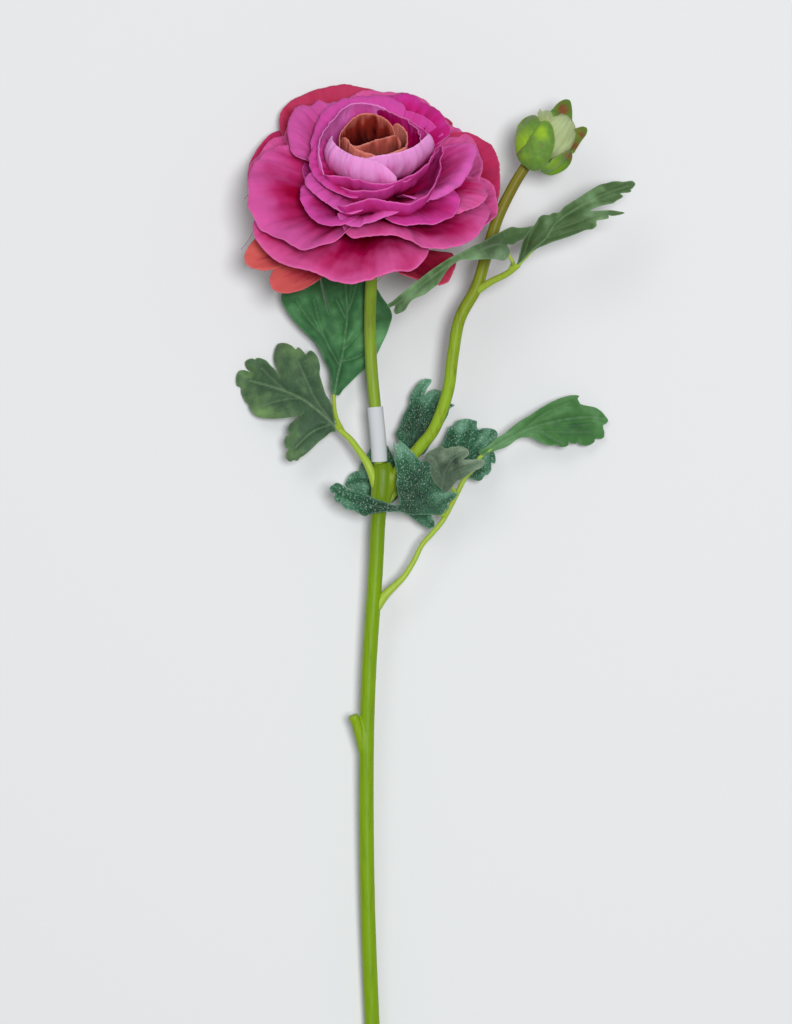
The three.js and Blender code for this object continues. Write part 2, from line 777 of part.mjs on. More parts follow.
// The paper band is a sleeve on a stretch of the bloom's stalk.
function bandOf() {
  const curve = stemCurve(bloomStalkStations);
  const stretch = (from, to) =>
    [0, 0.5, 1].map((share) => {
      const { x, y, z } = curve.getPoint(mix(from, to, share));
      return [x, y, z, STALK_RADIUS + BAND.clearance];
    });
  const sleeve = stemOf(stretch(BAND.from, BAND.to), 14, 4, BAND.thickness);
  return sleeve.subtract(stemOf(stretch(BAND.from - 0.02, BAND.to + 0.02), 14, 4));
}

addTo(flower, "main_stem", mainStemOf(), COLOURS.stem, ROUGHNESS.plastic);
addTo(flower, "bloom_stalk", stemOf(bloomStalkStations, 8, 16), COLOURS.stem, ROUGHNESS.plastic);
addTo(flower, "bud_stalk", budStalkOf(), COLOURS.budStalk, ROUGHNESS.plastic);
addTo(flower, "paper_band", bandOf(), COLOURS.paper, ROUGHNESS.paper);
for (const [name, plan] of Object.entries(leafStalks))
  addTo(flower, name, leafStalkOf(plan), COLOURS.leafStalk, ROUGHNESS.plastic);
for (const [name, leaflet] of Object.entries(leaflets)) {
  const blade = leafletOf(leaflet).subtract(groundIn(flower));
  addTo(flower, name, fused([blade]), COLOURS.leaf, ROUGHNESS.cloth);
}

// The bloom, from its calyx to its centre

function calyxOf() {
  const outline = [
    [0, -30.4],
    [3.3, -30.4],
    [4.6, -28.2],
    [6.6, -25.4],
    [6.9, -23.6],
    [0, -23.6],
  ].map(([radius, height]) => new THREE.Vector2(radius, height));
  const cup = solidOf(new THREE.LatheGeometry(outline, 12).rotateX(Math.PI / 2));
  bloom.updateMatrix();
  const intoBloom = bloom.matrix.clone().invert();
  return cup.subtract(stemOf(bloomStalkStations, 8, 16, PLUG_CLEARANCE, intoBloom));
}

function ringsOf(hub, layers) {
  return fused([hub, ...layers.flatMap(petalsOf)]);
}

const guardPetals = ringsOf(hubOf(6.2, -23.2, -21.2), [guardLayer]).subtract(groundIn(bloom));
addTo(bloom, "calyx", calyxOf(), COLOURS.calyx, ROUGHNESS.plastic);
addTo(bloom, "guard_petals", fused([guardPetals]), COLOURS.guard, ROUGHNESS.cloth);
for (const [name, hub, layers, colour] of [
  ["outer_petals", hubOf(6, -20.8, -15.8), outerLayers, COLOURS.outer],
  ["middle_petals", hubOf(5.6, -15.4, -8.4), middleLayers, COLOURS.middle],
  ["inner_petals", hubOf(5.2, -8, -4.8), [innerLayer], COLOURS.inner],
  ["centre_petals", hubOf(4.8, -4.4, -1), [centreLayer], COLOURS.centre],
])
  addTo(bloom, name, ringsOf(hub, layers), colour, ROUGHNESS.cloth);

// The bud, in its five sepals

addTo(bud, "bud_petals", budBody(), COLOURS.budPetals, ROUGHNESS.cloth);
addTo(bud, "bud_sepals", ringsOf(hubOf(2.2, -0.8, 0.8), [sepalLayer]), COLOURS.sepals, ROUGHNESS.cloth);

export default flower;
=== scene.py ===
# An artificial ranunculus spray lying on a pale surface: a double bloom of dyed satin petals, a bud,
# four leaves of printed cloth and moulded green stems with a bare paper band. Lengths are in
# millimetres in the drawing's own frame, and place() turns them into the frame's metres.
import math

import bpy
from mathutils import Matrix, Vector, kdtree, noise


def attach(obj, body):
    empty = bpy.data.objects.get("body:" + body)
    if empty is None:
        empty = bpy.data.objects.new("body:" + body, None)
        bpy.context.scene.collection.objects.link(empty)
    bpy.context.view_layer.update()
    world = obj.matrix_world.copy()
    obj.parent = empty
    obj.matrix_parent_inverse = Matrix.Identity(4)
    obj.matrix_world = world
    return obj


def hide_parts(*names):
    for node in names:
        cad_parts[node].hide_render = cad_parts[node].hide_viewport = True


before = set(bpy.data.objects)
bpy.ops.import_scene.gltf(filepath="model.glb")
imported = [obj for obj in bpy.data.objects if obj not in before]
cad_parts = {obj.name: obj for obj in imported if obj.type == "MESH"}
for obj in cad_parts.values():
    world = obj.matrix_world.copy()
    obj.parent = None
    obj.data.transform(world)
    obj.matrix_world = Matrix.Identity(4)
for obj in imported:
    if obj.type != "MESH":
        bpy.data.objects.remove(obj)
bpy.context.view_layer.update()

MM = 0.001
BOX_MIDDLE = Vector((21.9, 123.5, 0))  # the drawing's point that lies over the frame's origin
PETAL_THICKNESS = 0.26
LEAF_THICKNESS = 0.34
STEM_RADIUS = 2.85
STALK_RADIUS = 2.25
STEM_END_Y = -105
JOINT_Y = 209
RIB_RADIUS = 0.75
RIB_CLEARANCE = 0.9
VIEW_HEIGHT = 1470  # the camera's, straight over the place below
VIEW_MIDDLE = (8.25, 192)
PICTURE_HEIGHT = 20  # the height whose points the picture shows at its own scale
PICTURE_SPAN = 384  # what fills the picture from its lower to its upper edge, at that height
LOWEST = 0.2  # how near to the surface a sheet comes

BLOOM_PLACE = Matrix.Translation((0, 314.2, 36.1)) @ Matrix.Rotation(math.radians(-45), 4, "X")


def mix(a, b, t):
    return a + (b - a) * t


def smooth(value, low, high):
    t = min(max((value - low) / (high - low), 0), 1)
    return t * t * (3 - 2 * t)


def in_frame(x, y, z):
    """A point of the drawing in the frame's metres."""
    return Vector((x - BOX_MIDDLE.x, y - BOX_MIDDLE.y, z)) * MM


def place(point):
    """A point in the frame's metres, kept just above the surface that the spray lies on."""
    x, y, z = point
    return in_frame(x, y, max(z, LOWEST))


def cubic(start, leaving, arriving, end, s):
    """A point on the curve from start to end that leaves and arrives with the given slopes."""
    square = -3 * start + 3 * end - 2 * leaving - arriving
    cube = 2 * start - 2 * end + leaving + arriving
    return start + leaving * s + square * s * s + cube * s * s * s


def waves(x, y, depth, length, seed):
    """Soft unevenness, with a depth and with waves of a length in mm."""
    return depth * noise.noise(Vector((x / length, y / length, seed)))


class Route:
    """A smooth curve through points, kept at even steps for quick reading."""

    STEPS = 240

    def __init__(self, points):
        ends = [2 * Vector(points[0]) - Vector(points[1]), 2 * Vector(points[-1]) - Vector(points[-2])]
        self.points = [ends[0], *map(Vector, points), ends[1]]
        self.spans = len(points) - 1
        self.line = [self.exact(k / self.STEPS) for k in range(self.STEPS + 1)]
        self.length = sum((b - a).length for a, b in zip(self.line, self.line[1:]))

    def exact(self, t):
        place_on = min(max(t, 0), 1) * self.spans
        span = min(int(place_on), self.spans - 1)
        before, start, end, after = self.points[span : span + 4]
        return cubic(start, (end - before) / 2, (after - start) / 2, end, place_on - span)

    def at(self, t):
        step = min(max(t, 0), 1) * self.STEPS
        k = min(int(step), self.STEPS - 1)
        return self.line[k].lerp(self.line[k + 1], step - k)

    def heading(self, t):
        step = min(max(t, 0), 1) * self.STEPS
        k = min(max(int(step - 0.5), 0), self.STEPS - 2)
        s = min(max(step - 0.5 - k, 0), 1)
        first = (self.line[k + 1] - self.line[k]).normalized()
        second = (self.line[k + 2] - self.line[k + 1]).normalized()
        return first.lerp(second, s).normalized()


# Making meshes


def select_only(*objects):
    bpy.ops.object.select_all(action="DESELECT")
    for made in objects:
        made.select_set(True)
    bpy.context.view_layer.objects.active = objects[0]


def sheet_of(columns, rows, point_at):
    """A grid bent to shape: point_at(x, t) has x from -1 to 1 across it and t from 0 to 1 along it.
    Its UV map keeps x and t."""
    bpy.ops.mesh.primitive_grid_add(x_subdivisions=columns, y_subdivisions=rows, size=1)
    sheet = bpy.context.object
    for vertex in sheet.data.vertices:
        vertex.co = point_at(2 * vertex.co.x, vertex.co.y + 0.5)
    return sheet


def marked(piece, marks):
    """Keeps a value at each vertex under each name, for the materials."""
    for name, values in marks.items():
        piece.data.attributes.new(name, "FLOAT", "POINT").data.foreach_set("value", values)


def joined(name, objects):
    select_only(*objects)
    if len(objects) > 1:
        bpy.ops.object.join()
    whole = bpy.context.view_layer.objects.active
    whole.name = whole.data.name = name
    return whole


def with_faces_out(piece):
    select_only(piece)
    bpy.ops.object.mode_set(mode="EDIT")
    bpy.ops.mesh.select_all(action="SELECT")
    bpy.ops.mesh.normals_make_consistent(inside=False)
    bpy.ops.object.mode_set(mode="OBJECT")


def apply_modifier(piece, kind, **settings):
    select_only(piece)
    modifier = piece.modifiers.new(kind.title(), kind)
    for name, value in settings.items():
        setattr(modifier, name, value)
    bpy.ops.object.modifier_apply(modifier=modifier.name)


def finished(piece, materials, nodes, edge_angle=None):
    """Shades a piece and rides it on the part; edges sharper than edge_angle stay crisp."""
    select_only(piece)
    if edge_angle:
        bpy.ops.object.shade_smooth_by_angle(angle=math.radians(edge_angle))
    else:
        bpy.ops.object.shade_smooth()
    piece.data.materials.clear()
    for material in materials:
        piece.data.materials.append(material)
    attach(piece, "root")
    if nodes:
        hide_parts(*nodes)
    return piece


def mark_sides_for_highlights(piece, stations):
    """Keeps how far to the left or right of its line each point of a stem lies, from 0 to 1, for the
    stem's painted highlights.
    """
    line = [place(point) for point in Route([station[:3] for station in stations]).line]
    tree = kdtree.KDTree(len(line))
    for k, point in enumerate(line):
        tree.insert(point, k)
    tree.balance()
    sides = []
    for vertex in piece.data.vertices:
        near, k, _ = tree.find(vertex.co)
        k = min(max(k, 1), len(line) - 2)
        heading = (line[k + 1] - line[k - 1]).normalized()
        right = heading.cross(Vector((0, 0, 1))).normalized()
        sides.append(0.5 + 0.5 * (vertex.co - near).dot(right) / (STEM_RADIUS * MM))
    marked(piece, {"side": sides})


def tube_of(stations, sides=20, spacing=1.2):
    """A round stem through stations of x, y, z and radius."""
    route = Route([station[:3] for station in stations])
    count = max(6, round(route.length / spacing))
    bpy.ops.curve.primitive_nurbs_path_add()
    path = bpy.context.object
    path.data.splines.clear()
    spline = path.data.splines.new("POLY")
    spline.points.add(count)
    for k, point in enumerate(spline.points):
        along = k / count * (len(stations) - 1)
        before = min(int(along), len(stations) - 2)
        radius = mix(stations[before][3], stations[before + 1][3], along - before)
        point.co = (*in_frame(*route.exact(k / count)), 1)
        point.radius = radius * MM
    path.data.dimensions = "3D"
    path.data.bevel_depth = 1
    path.data.bevel_resolution = sides // 4
    path.data.use_fill_caps = True
    bpy.ops.object.convert(target="MESH")
    return bpy.context.object


def moulded(name, tubes, grain):
    """Stems run into each other as one moulding: remeshed at a grain in mm and smoothed."""
    whole = joined(name, tubes)
    with_faces_out(whole)
    whole.data.remesh_voxel_size = grain * MM
    whole.data.use_remesh_fix_poles = False
    bpy.ops.object.voxel_remesh()
    apply_modifier(whole, "SMOOTH", factor=0.5, iterations=6)
    for vertex in whole.data.vertices:
        vertex.co.z = max(vertex.co.z, 0.0)
    return whole


# Materials

SHARE, FROM, TO, MIXED = 0, 6, 7, 2  # a colour mix's sockets and the place of its output


def linear(colour):
    channels = [int(colour[k : k + 2], 16) / 255 for k in (1, 3, 5)]
    return [c / 12.92 if c <= 0.04045 else ((c + 0.055) / 1.055) ** 2.4 for c in channels] + [1]


def node(material, kind, inputs=None, output=0, stops=None, **settings):
    """Adds a shader node and gives its output. An input is a value or the output of another node, and
    stops are a colour ramp's places and colours."""
    tree = material.node_tree
    made = tree.nodes.new("ShaderNode" + kind)
    for name, value in settings.items():
        setattr(made, name, value)
    for name, value in (inputs or {}).items():
        if isinstance(value, bpy.types.NodeSocket):
            tree.links.new(value, made.inputs[name])
        else:
            made.inputs[name].default_value = value
    if stops:
        ramp = made.color_ramp
        while len(ramp.elements) < len(stops):
            ramp.elements.new(0.5)
        for element, (position, colour) in zip(ramp.elements, stops):
            element.position = position
            element.color = colour
    return made.outputs[output]


def surface_of(name, roughness, colour=None, **constants):
    """A new material and its shader, with the shader's constant settings."""
    material = bpy.data.materials.new(name)
    material.use_nodes = True
    shader = material.node_tree.nodes["Principled BSDF"]
    shader.inputs["Roughness"].default_value = roughness
    if colour:
        shader.inputs["Base Color"].default_value = linear(colour)
    for socket, value in constants.items():
        shader.inputs[socket.replace("_", " ")].default_value = value
    return material, shader


def dressed(material, shader, colour, relief):
    """Links a material's colour and relief to its shader."""
    material.node_tree.links.new(colour, shader.inputs["Base Color"])
    material.node_tree.links.new(relief, shader.inputs["Normal"])
    return material


def petal_satin(name, root, body, rim, tint, line, streak=0.05, spread=(0.35, 0.66, 0.94)):
    """Dyed polyester satin, punched and heat-pressed: a soft sheen, colour that runs from a deep root to
    a pale rim, and fine streaks along the petal from the pressing. The deep root is partly dye and partly
    painted shade for the bloom's hollows, and the pale rim partly painted light. The mesh's per-petal
    value adds the tint towards the rim, and one below nothing deepens the colour: partly each petal's own
    tint, partly painted light and shade."""
    cloth, shader = surface_of(
        name,
        0.6,
        Specular_IOR_Level=0.07,
        Subsurface_Weight=0.2,
        Subsurface_Scale=1.2 * MM,
        Subsurface_Radius=(1.0, 0.35, 0.6),
    )
    uv = node(cloth, "UVMap", uv_map="UVMap")
    along = node(cloth, "SeparateXYZ", {0: uv}, output=1)
    tint_and_painted_light = node(cloth, "Attribute", output="Fac", attribute_name="tint_and_painted_light")
    # the pressing's lines are 0.3 mm apart, too fine to show: 30 cross a petal here, 1 to 3 mm apart
    pressed = node(cloth, "VectorMath", {0: uv, 1: (30, 1.6, 1)}, operation="MULTIPLY")
    own = node(cloth, "CombineXYZ", {2: tint_and_painted_light})
    own = node(cloth, "VectorMath", {0: own, 3: 37}, operation="SCALE")
    lines = node(cloth, "VectorMath", {0: pressed, 1: own})
    streaks = node(cloth, "TexNoise", {"Vector": lines, "Scale": 1, "Detail": 4})
    # the dye took unevenly, in patches 13 mm across and in runs three times as wide as the lines
    on_body = node(cloth, "TexCoord", output="Object")
    patches = node(cloth, "TexNoise", {"Vector": on_body, "Scale": 0.075 / MM, "Detail": 2})
    wide = node(cloth, "VectorMath", {0: lines, 1: (0.3, 1.2, 1)}, operation="MULTIPLY")
    runs = node(cloth, "TexNoise", {"Vector": wide, "Scale": 1, "Detail": 3})
    mottle = node(cloth, "Math", {0: patches, 1: runs})
    uneven = node(cloth, "Math", {0: mottle, 1: 1}, operation="SUBTRACT")
    uneven = node(cloth, "Math", {0: uneven, 1: 0.55, 2: along}, operation="MULTIPLY_ADD")
    # a value below nothing darkens the petal: painted shade on petals that lie in shade
    deeper = node(cloth, "Math", {0: tint_and_painted_light, 1: 0}, operation="MINIMUM")
    outward = node(cloth, "Math", {0: uneven, 1: deeper})
    # the ramp from the deep root to the pale rim: partly dye, partly painted shade in the hollows and
    # painted light on the rims
    stops = list(zip(spread, (linear(root), linear(body), linear(rim))))
    dye = node(cloth, "ValToRGB", {"Fac": outward}, stops=stops)
    near_rim = node(cloth, "MapRange", {"Value": outward, "From Min": 0.45, "From Max": 0.85})
    share = node(cloth, "Math", {0: tint_and_painted_light, 1: near_rim}, operation="MULTIPLY", use_clamp=True)
    tinted = node(cloth, "Mix", {SHARE: share, FROM: dye, TO: linear(tint)}, MIXED, data_type="RGBA")
    # the heat-cut edge is a paler line, about 0.5 mm wide
    edge = node(cloth, "MapRange", {"Value": along, "From Min": 0.985, "From Max": 0.995, "To Max": 0.35})
    lined = node(cloth, "Mix", {SHARE: edge, FROM: tinted, TO: linear(line)}, MIXED, data_type="RGBA")
    contrast = node(
        cloth,
        "MapRange",
        {"Value": streaks, "From Min": 0.3, "From Max": 0.7, "To Min": 1 - streak, "To Max": 1 + streak},
    )
    shade = node(cloth, "VectorMath", {0: lined, 3: contrast}, operation="SCALE")
    relief = node(cloth, "Bump", {"Height": streaks, "Strength": 0.2, "Distance": 0.3 * MM})
    return dressed(cloth, shader, shade, relief)


PRINT_COLOUR = "#b4ccba"


def leaf_cloth(name, deep, body, light, vein, speckle=0.0):
    """Printed polyester cloth, hot-pressed over a veined mould: matt, with a fine thread grain, patches of
    lighter and darker colour that are partly dye and partly painted light and shade, thin pale veins and,
    on some leaves, pale print in dashes from the base."""
    cloth, shader = surface_of(
        name, 0.66, Sheen_Weight=0.1, Specular_IOR_Level=0.3, Subsurface_Weight=0.05, Subsurface_Scale=MM
    )
    uv = node(cloth, "UVMap", uv_map="UVMap")
    on_body = node(cloth, "TexCoord", output="Object")
    veins, rim, dye_and_painted_shading = [
        node(cloth, "Attribute", output="Fac", attribute_name=mark) for mark in ("vein", "rim", "dye_and_painted_shading")
    ]
    # the dye took unevenly, in patches 4.5 mm across
    patches = node(
        cloth, "TexNoise", {"Vector": on_body, "Scale": 0.22 / MM, "Detail": 5, "Roughness": 0.65}
    )
    calm = node(cloth, "MapRange", {"Value": patches, "To Min": 0.33, "To Max": 0.67})
    # the spots move the dye along its ramp: partly uneven dye, partly painted light and shade
    ramp_place = node(cloth, "Math", {0: dye_and_painted_shading, 1: 0.3, 2: calm}, operation="MULTIPLY_ADD")
    stops = [(0.24, linear(deep)), (0.5, linear(body)), (0.8, linear(light))]
    dye = node(cloth, "ValToRGB", {"Fac": ramp_place}, stops=stops)
    # the print's dashes run out from the base, 0.9 mm long and up to 0.7 mm apart, as on the real cloth
    dashes = node(cloth, "VectorMath", {0: uv, 1: (6, 1.1, 1)}, operation="MULTIPLY")
    dashes = node(cloth, "TexNoise", {"Vector": dashes, "Scale": 1, "Detail": 4, "Roughness": 0.8})
    specks = node(
        cloth, "MapRange", {"Value": dashes, "From Min": 0.55, "From Max": 0.65, "To Max": speckle}
    )
    printed = node(
        cloth, "Mix", {SHARE: specks, FROM: dye, TO: linear(PRINT_COLOUR)}, MIXED, data_type="RGBA"
    )
    pale = node(cloth, "Math", {0: veins, 1: 0.55}, operation="MULTIPLY")
    veined = node(cloth, "Mix", {SHARE: pale, FROM: printed, TO: linear(vein)}, MIXED, data_type="RGBA")
    cut = node(cloth, "Math", {0: rim, 1: 0.45}, operation="MULTIPLY")
    edged = node(cloth, "Mix", {SHARE: cut, FROM: veined, TO: linear(light)}, MIXED, data_type="RGBA")
    # threads 0.35 mm apart, drawn about 1 mm apart so that they show
    weave = node(
        cloth,
        "TexWave",
        {"Vector": on_body, "Scale": 0.45 / MM, "Distortion": 0.6, "Detail": 1},
        "Fac",
        bands_direction="DIAGONAL",
    )
    relief = node(cloth, "Bump", {"Height": weave, "Strength": 0.15, "Distance": 0.2 * MM})
    return dressed(cloth, shader, edged, relief)


# How pale a stem is painted from its left side to its right: painted highlights on both flanks, and a
# bright painted highlight line left of its middle
STEM_PAINTED_HIGHLIGHTS = [(0.06, 1), (0.2, 0), (0.3, 0.45), (0.42, 0), (0.84, 0), (0.97, 1)]


def stem_plastic(name, green, dark, pale="#b4c65a", far=None, turning=None):
    """Moulded polyethylene over wire: waxy, uneven green, with darker flow marks along it and painted
    highlights in pale bands along both flanks and left of its middle. Where it has a far colour, it turns
    to that between two places of the frame in mm."""
    plastic, shader = surface_of(
        name, 0.45, Specular_IOR_Level=0.22, Subsurface_Weight=0.1, Subsurface_Scale=1.5 * MM
    )
    on_body = node(plastic, "TexCoord", output="Object")
    side = node(plastic, "Attribute", output="Fac", attribute_name="side")
    body = linear(green)
    if far:
        along = node(plastic, "SeparateXYZ", {0: on_body}, output=1)
        start, end = turning
        share = node(plastic, "MapRange", {"Value": along, "From Min": start * MM, "From Max": end * MM})
        body = node(plastic, "Mix", {SHARE: share, FROM: body, TO: linear(far)}, MIXED, data_type="RGBA")
    # flow marks about 1 mm wide and 17 mm long
    drawn = node(
        plastic, "VectorMath", {0: on_body, 1: (0.9 / MM, 0.06 / MM, 0.9 / MM)}, operation="MULTIPLY"
    )
    flow = node(plastic, "TexNoise", {"Vector": drawn, "Scale": 1, "Detail": 3})
    marks = node(plastic, "MapRange", {"Value": flow, "From Min": 0.48, "From Max": 0.75, "To Max": 0.6})
    mottled = node(plastic, "Mix", {SHARE: marks, FROM: body, TO: linear(dark)}, MIXED, data_type="RGBA")
    # the pale colour mixed in by side is painted highlight: both flanks and a line left of the middle
    stops = [(at, (level, level, level, 1)) for at, level in STEM_PAINTED_HIGHLIGHTS]
    painted_side_highlights = node(plastic, "ValToRGB", {"Fac": side}, stops=stops)
    lighter = node(plastic, "Math", {0: painted_side_highlights, 1: 0.24}, operation="MULTIPLY")
    highlighted = node(
        plastic, "Mix", {SHARE: lighter, FROM: mottled, TO: linear(pale)}, MIXED, data_type="RGBA"
    )
    relief = node(plastic, "Bump", {"Height": flow, "Strength": 0.25, "Distance": 0.4 * MM})
    return dressed(plastic, shader, highlighted, relief)


# Petals

CORNERS = 0.14  # how far a petal's corners are drawn in, as a share of its length
FRAY_START = 0.93  # the share of its length from which its edge is frayed
FRAY = 0.2  # how deep its edge is frayed, and how deep the cloth is puckered and pleated, in mm
PUCKERS = 0.3
PLEATS = 0.03


def petal(belly, lip, tint_and_painted_light, *rim):
    """A petal's values: how its side view bends, how far its lip rolls out in mm, how much tint its colour
    takes, partly its own tint and partly painted light and shade (more on lit petals, below nothing on
    shaded ones), and its rim's stations of azimuth in degrees, reach and rise."""
    return {"belly": belly, "lip": lip, "tint_and_painted_light": tint_and_painted_light, "rim": rim}


def arc(azimuth, half, reach, rise):
    """The rim of a petal that no photograph shows: round, with its corners drawn in."""
    shares = [(-1, 0.86), (-0.72, 0.97), (-0.3, 1.0), (0.25, 1.02), (0.7, 0.98), (1, 0.87)]
    return [(azimuth + half * x, reach * share, rise - 6 * (1 - share)) for x, share in shares]


def bezier(a, b, c, d, t):
    return a * (1 - t) ** 3 + 3 * b * t * (1 - t) ** 2 + 3 * c * t * t * (1 - t) + d * t**3


def petal_shape(layer, number):
    """The point function of a layer's petal, from its root on the bloom's axis to its rim: its bowl,
    a rolled lip, soft folds, the fine pleats of pressed satin and a frayed edge."""
    values = layer["petals"][number]
    foot, low, full, rise = values["belly"]
    first, last = values["rim"][0][0], values["rim"][-1][0]
    route = Route(values["rim"])
    root_radius, root_height = layer["root"]
    seed = 10 * len(layer["name"]) + 3.1 * number
    breadth = (last - first) / 75  # so that folds are as wide on a narrow petal as on a broad one

    def profile(t, reach, top):
        radius = bezier(root_radius, reach * foot, reach * full, reach, t)
        heights = [root_height, mix(root_height, top, low), mix(root_height, top, rise), top]
        return radius, bezier(*heights, t)

    def point_at(x, t):
        azimuth, reach, top = route.at((x + 1) / 2)
        t *= 1 - CORNERS * abs(x) ** 9
        side = x * breadth

        def folds(across, along, shift):
            return noise.noise(Vector((side * across, t * along, seed + shift)))

        def ragged(across, row):
            return noise.noise(Vector((side * across, row, seed)))

        frayed = FRAY * smooth(t, FRAY_START, 1)
        reach += layer["ruffle"] * 0.5 * ragged(7, 4.4) + frayed * ragged(34, 1.7)
        r0, s0 = profile(t, reach, top)
        r1, s1 = profile(t + 0.01, reach, top)
        length = math.hypot(r1 - r0, s1 - s0)
        free = smooth(t, 0.05, 0.5)
        fold = folds(1.6, 1.7, 0)
        crease = abs(folds(3.2, 0.9, 21)) - 0.2
        ripple = folds(4.5, 1.2, 5) + 0.3 * folds(9, 0.8, 13)
        out = layer["fold"] * (fold + 1.1 * crease * t)
        out += layer["ruffle"] * ripple * t * t
        out += PUCKERS * folds(13, 7, 9) + PLEATS * math.sin(90 * side + 6 * fold)
        out = free * out + frayed * ragged(26, 8.1)
        out += values["lip"] * max(0, (t - 0.8) / 0.2) ** 2
        radius = r0 + out * (s1 - s0) / length
        height = s0 - out * (r1 - r0) / length
        fanned = mix(layer["waist"], 1, smooth(t, 0.08, 0.6))
        angle = math.radians(mix((first + last) / 2, azimuth, fanned))
        return place(BLOOM_PLACE @ Vector((radius * math.cos(angle), radius * math.sin(angle), height)))

    return point_at


def petal_piece(name, layers, material, columns, rows):
    sheets = []
    for layer in layers:
        for number, values in enumerate(layer["petals"]):
            sheet = sheet_of(columns, rows, petal_shape(layer, number))
            # each petal's tint value goes on its vertices: partly its own tint, partly painted light and
            # shade
            marked(sheet, {"tint_and_painted_light": [values["tint_and_painted_light"]] * len(sheet.data.vertices)})
            sheets.append(sheet)
    piece = joined("satin_" + name, sheets)
    with_faces_out(piece)
    apply_modifier(piece, "SOLIDIFY", thickness=PETAL_THICKNESS * MM, offset=0)
    return finished(piece, [material], [name])


# How a petal's side view bends: its foot, then its belly, each as shares of its reach and its rise.
OPEN = (0.5, 0.05, 0.82, 0.86)
DISH = (0.42, 0.42, 0.72, 1.03)
ROLLED = (0.5, 0.4, 0.84, 1.05)
UPRIGHT = (0.6, 0.15, 1.02, 0.55)
ROUND = (0.9, 0.05, 1.55, 0.62)
PLUMP = (0.8, 0.05, 1.35, 0.62)
HIGH = (0.7, 0.05, 1.2, 0.5)
RAISED = (0.35, 0.5, 0.62, 1.05)

# The bloom's layers, from its back to its centre: where their petals' roots lie, as a radius and a height
# on the bloom's axis, how narrow the petals are there, and how deep they fold and ruffle
GUARD = {
    "name": "guard",
    "root": (3, -22.2),
    "waist": 0.45,
    "fold": 1.2,
    "ruffle": 0.5,
    "petals": [
        petal(
            OPEN, 0, 0.15,
            (76, 45, 6), (93, 48, 6), (103, 51.3, 6), (112, 53, 5), (120, 55, 3), (130, 54, 1.5),
            (139, 49, -1),
        ),
        petal(
            OPEN, 0, 0.0,
            (127, 46, -3), (138, 51, -4), (151, 51, -6), (160, 50, -7), (169, 48, -9), (177, 44, -11),
        ),
        petal(
            OPEN, 0, 1.0,
            (197, 43, -12), (205, 51, -13), (209, 54.5, -14), (213, 55, -15), (218, 51, -16),
            (222, 42, -16),
        ),
        petal(
            OPEN, 0, 0.9,
            (216, 42, -16), (222, 51, -16), (227, 54.5, -17), (231, 53.5, -17.5), (235, 48, -18),
            (239, 38, -18),
        ),
        petal(
            OPEN, 0, 0.3,
            (277, 38, -8), (284, 43.5, -9), (290, 47, -10), (296, 51, -11), (301, 51.5, -11),
            (308, 48, -11), (317, 43, -10),
        ),
        petal(
            OPEN, 0, 0.05,
            (341, 46, -6), (355, 46.5, -5), (368, 47.7, -3), (378, 48.8, -1), (387, 48.4, 1),
            (395, 44, 3), (403, 37, 5),
        ),
        petal(OPEN, 0, 0.1, *arc(66, 22, 47, 1)),
    ],
}
LOW = {
    "name": "outer low",
    "root": (3, -18),
    "waist": 0.45,
    "fold": 1.6,
    "ruffle": 1.4,
    "petals": [
        petal(
            RAISED, 0.5, 0.05,
            (199, 47, 1), (207, 50.5, -1), (216, 52, -4), (231, 51, -5), (247, 50, -4), (263, 52, -3.5),
            (275, 47, -3), (290, 47, -3), (304, 43, -2),
        ),
        petal(OPEN, 0, 0.1, (327, 47, 0), (337, 48.5, 0), (347, 46.5, 0.5), (356, 44.5, 1), (363, 39, 3)),
        petal(OPEN, 0, 0.1, *arc(28, 28, 42, 2)),
        petal(OPEN, 0, 0.1, *arc(70, 30, 44, 2)),
        petal(OPEN, 0, 0.1, *arc(118, 30, 45, 1)),
        petal(OPEN, 0, 0.1, *arc(166, 30, 46, 0)),
    ],
}
WIDE = {
    "name": "outer wide",
    "root": (3, -13),
    "waist": 0.45,
    "fold": 1.8,
    "ruffle": 1.3,
    "petals": [
        petal(
            DISH, 0.6, 0.2,
            (248, 35, 6), (258, 38, 6), (273, 37.5, 6.5), (285, 39, 6), (295, 45, 5), (303, 49, 4.5),
            (315, 51, 3.5), (325, 49.5, 3), (336, 47, 2.5), (347, 43, 2),
        ),
        petal(
            DISH, 0.6, 0.45,
            (157, 31, 10), (163, 38, 10), (170, 42, 9), (180, 45, 8), (193, 47.5, 7), (205, 50, 5.5),
            (215, 50, 3.5), (226, 48.5, 4), (238, 48.5, 4.5), (248, 43.5, 6), (257, 38, 7),
        ),
        petal(DISH, 0.6, 0.1, (318, 40, 7), (328, 43, 7), (338, 44.5, 6.5), (348, 42, 6), (356, 38, 6)),
        petal(
            DISH, 0.8, 0.75,
            (105, 33, 12), (113, 35.5, 12), (122, 39, 12), (131, 41, 12), (140, 39.5, 12), (152, 36, 12),
            (166, 32.5, 12), (181, 29, 12),
        ),
        petal(
            OPEN, 0.6, 0.05,
            (47, 38.5, 9), (55, 40, 9.5), (64, 41.4, 10), (76, 42.3, 10), (88, 41.6, 10), (100, 40, 10),
            (112, 37, 10),
        ),
        petal(OPEN, 0, 0.2, *arc(8, 32, 40, 5)),
    ],
}
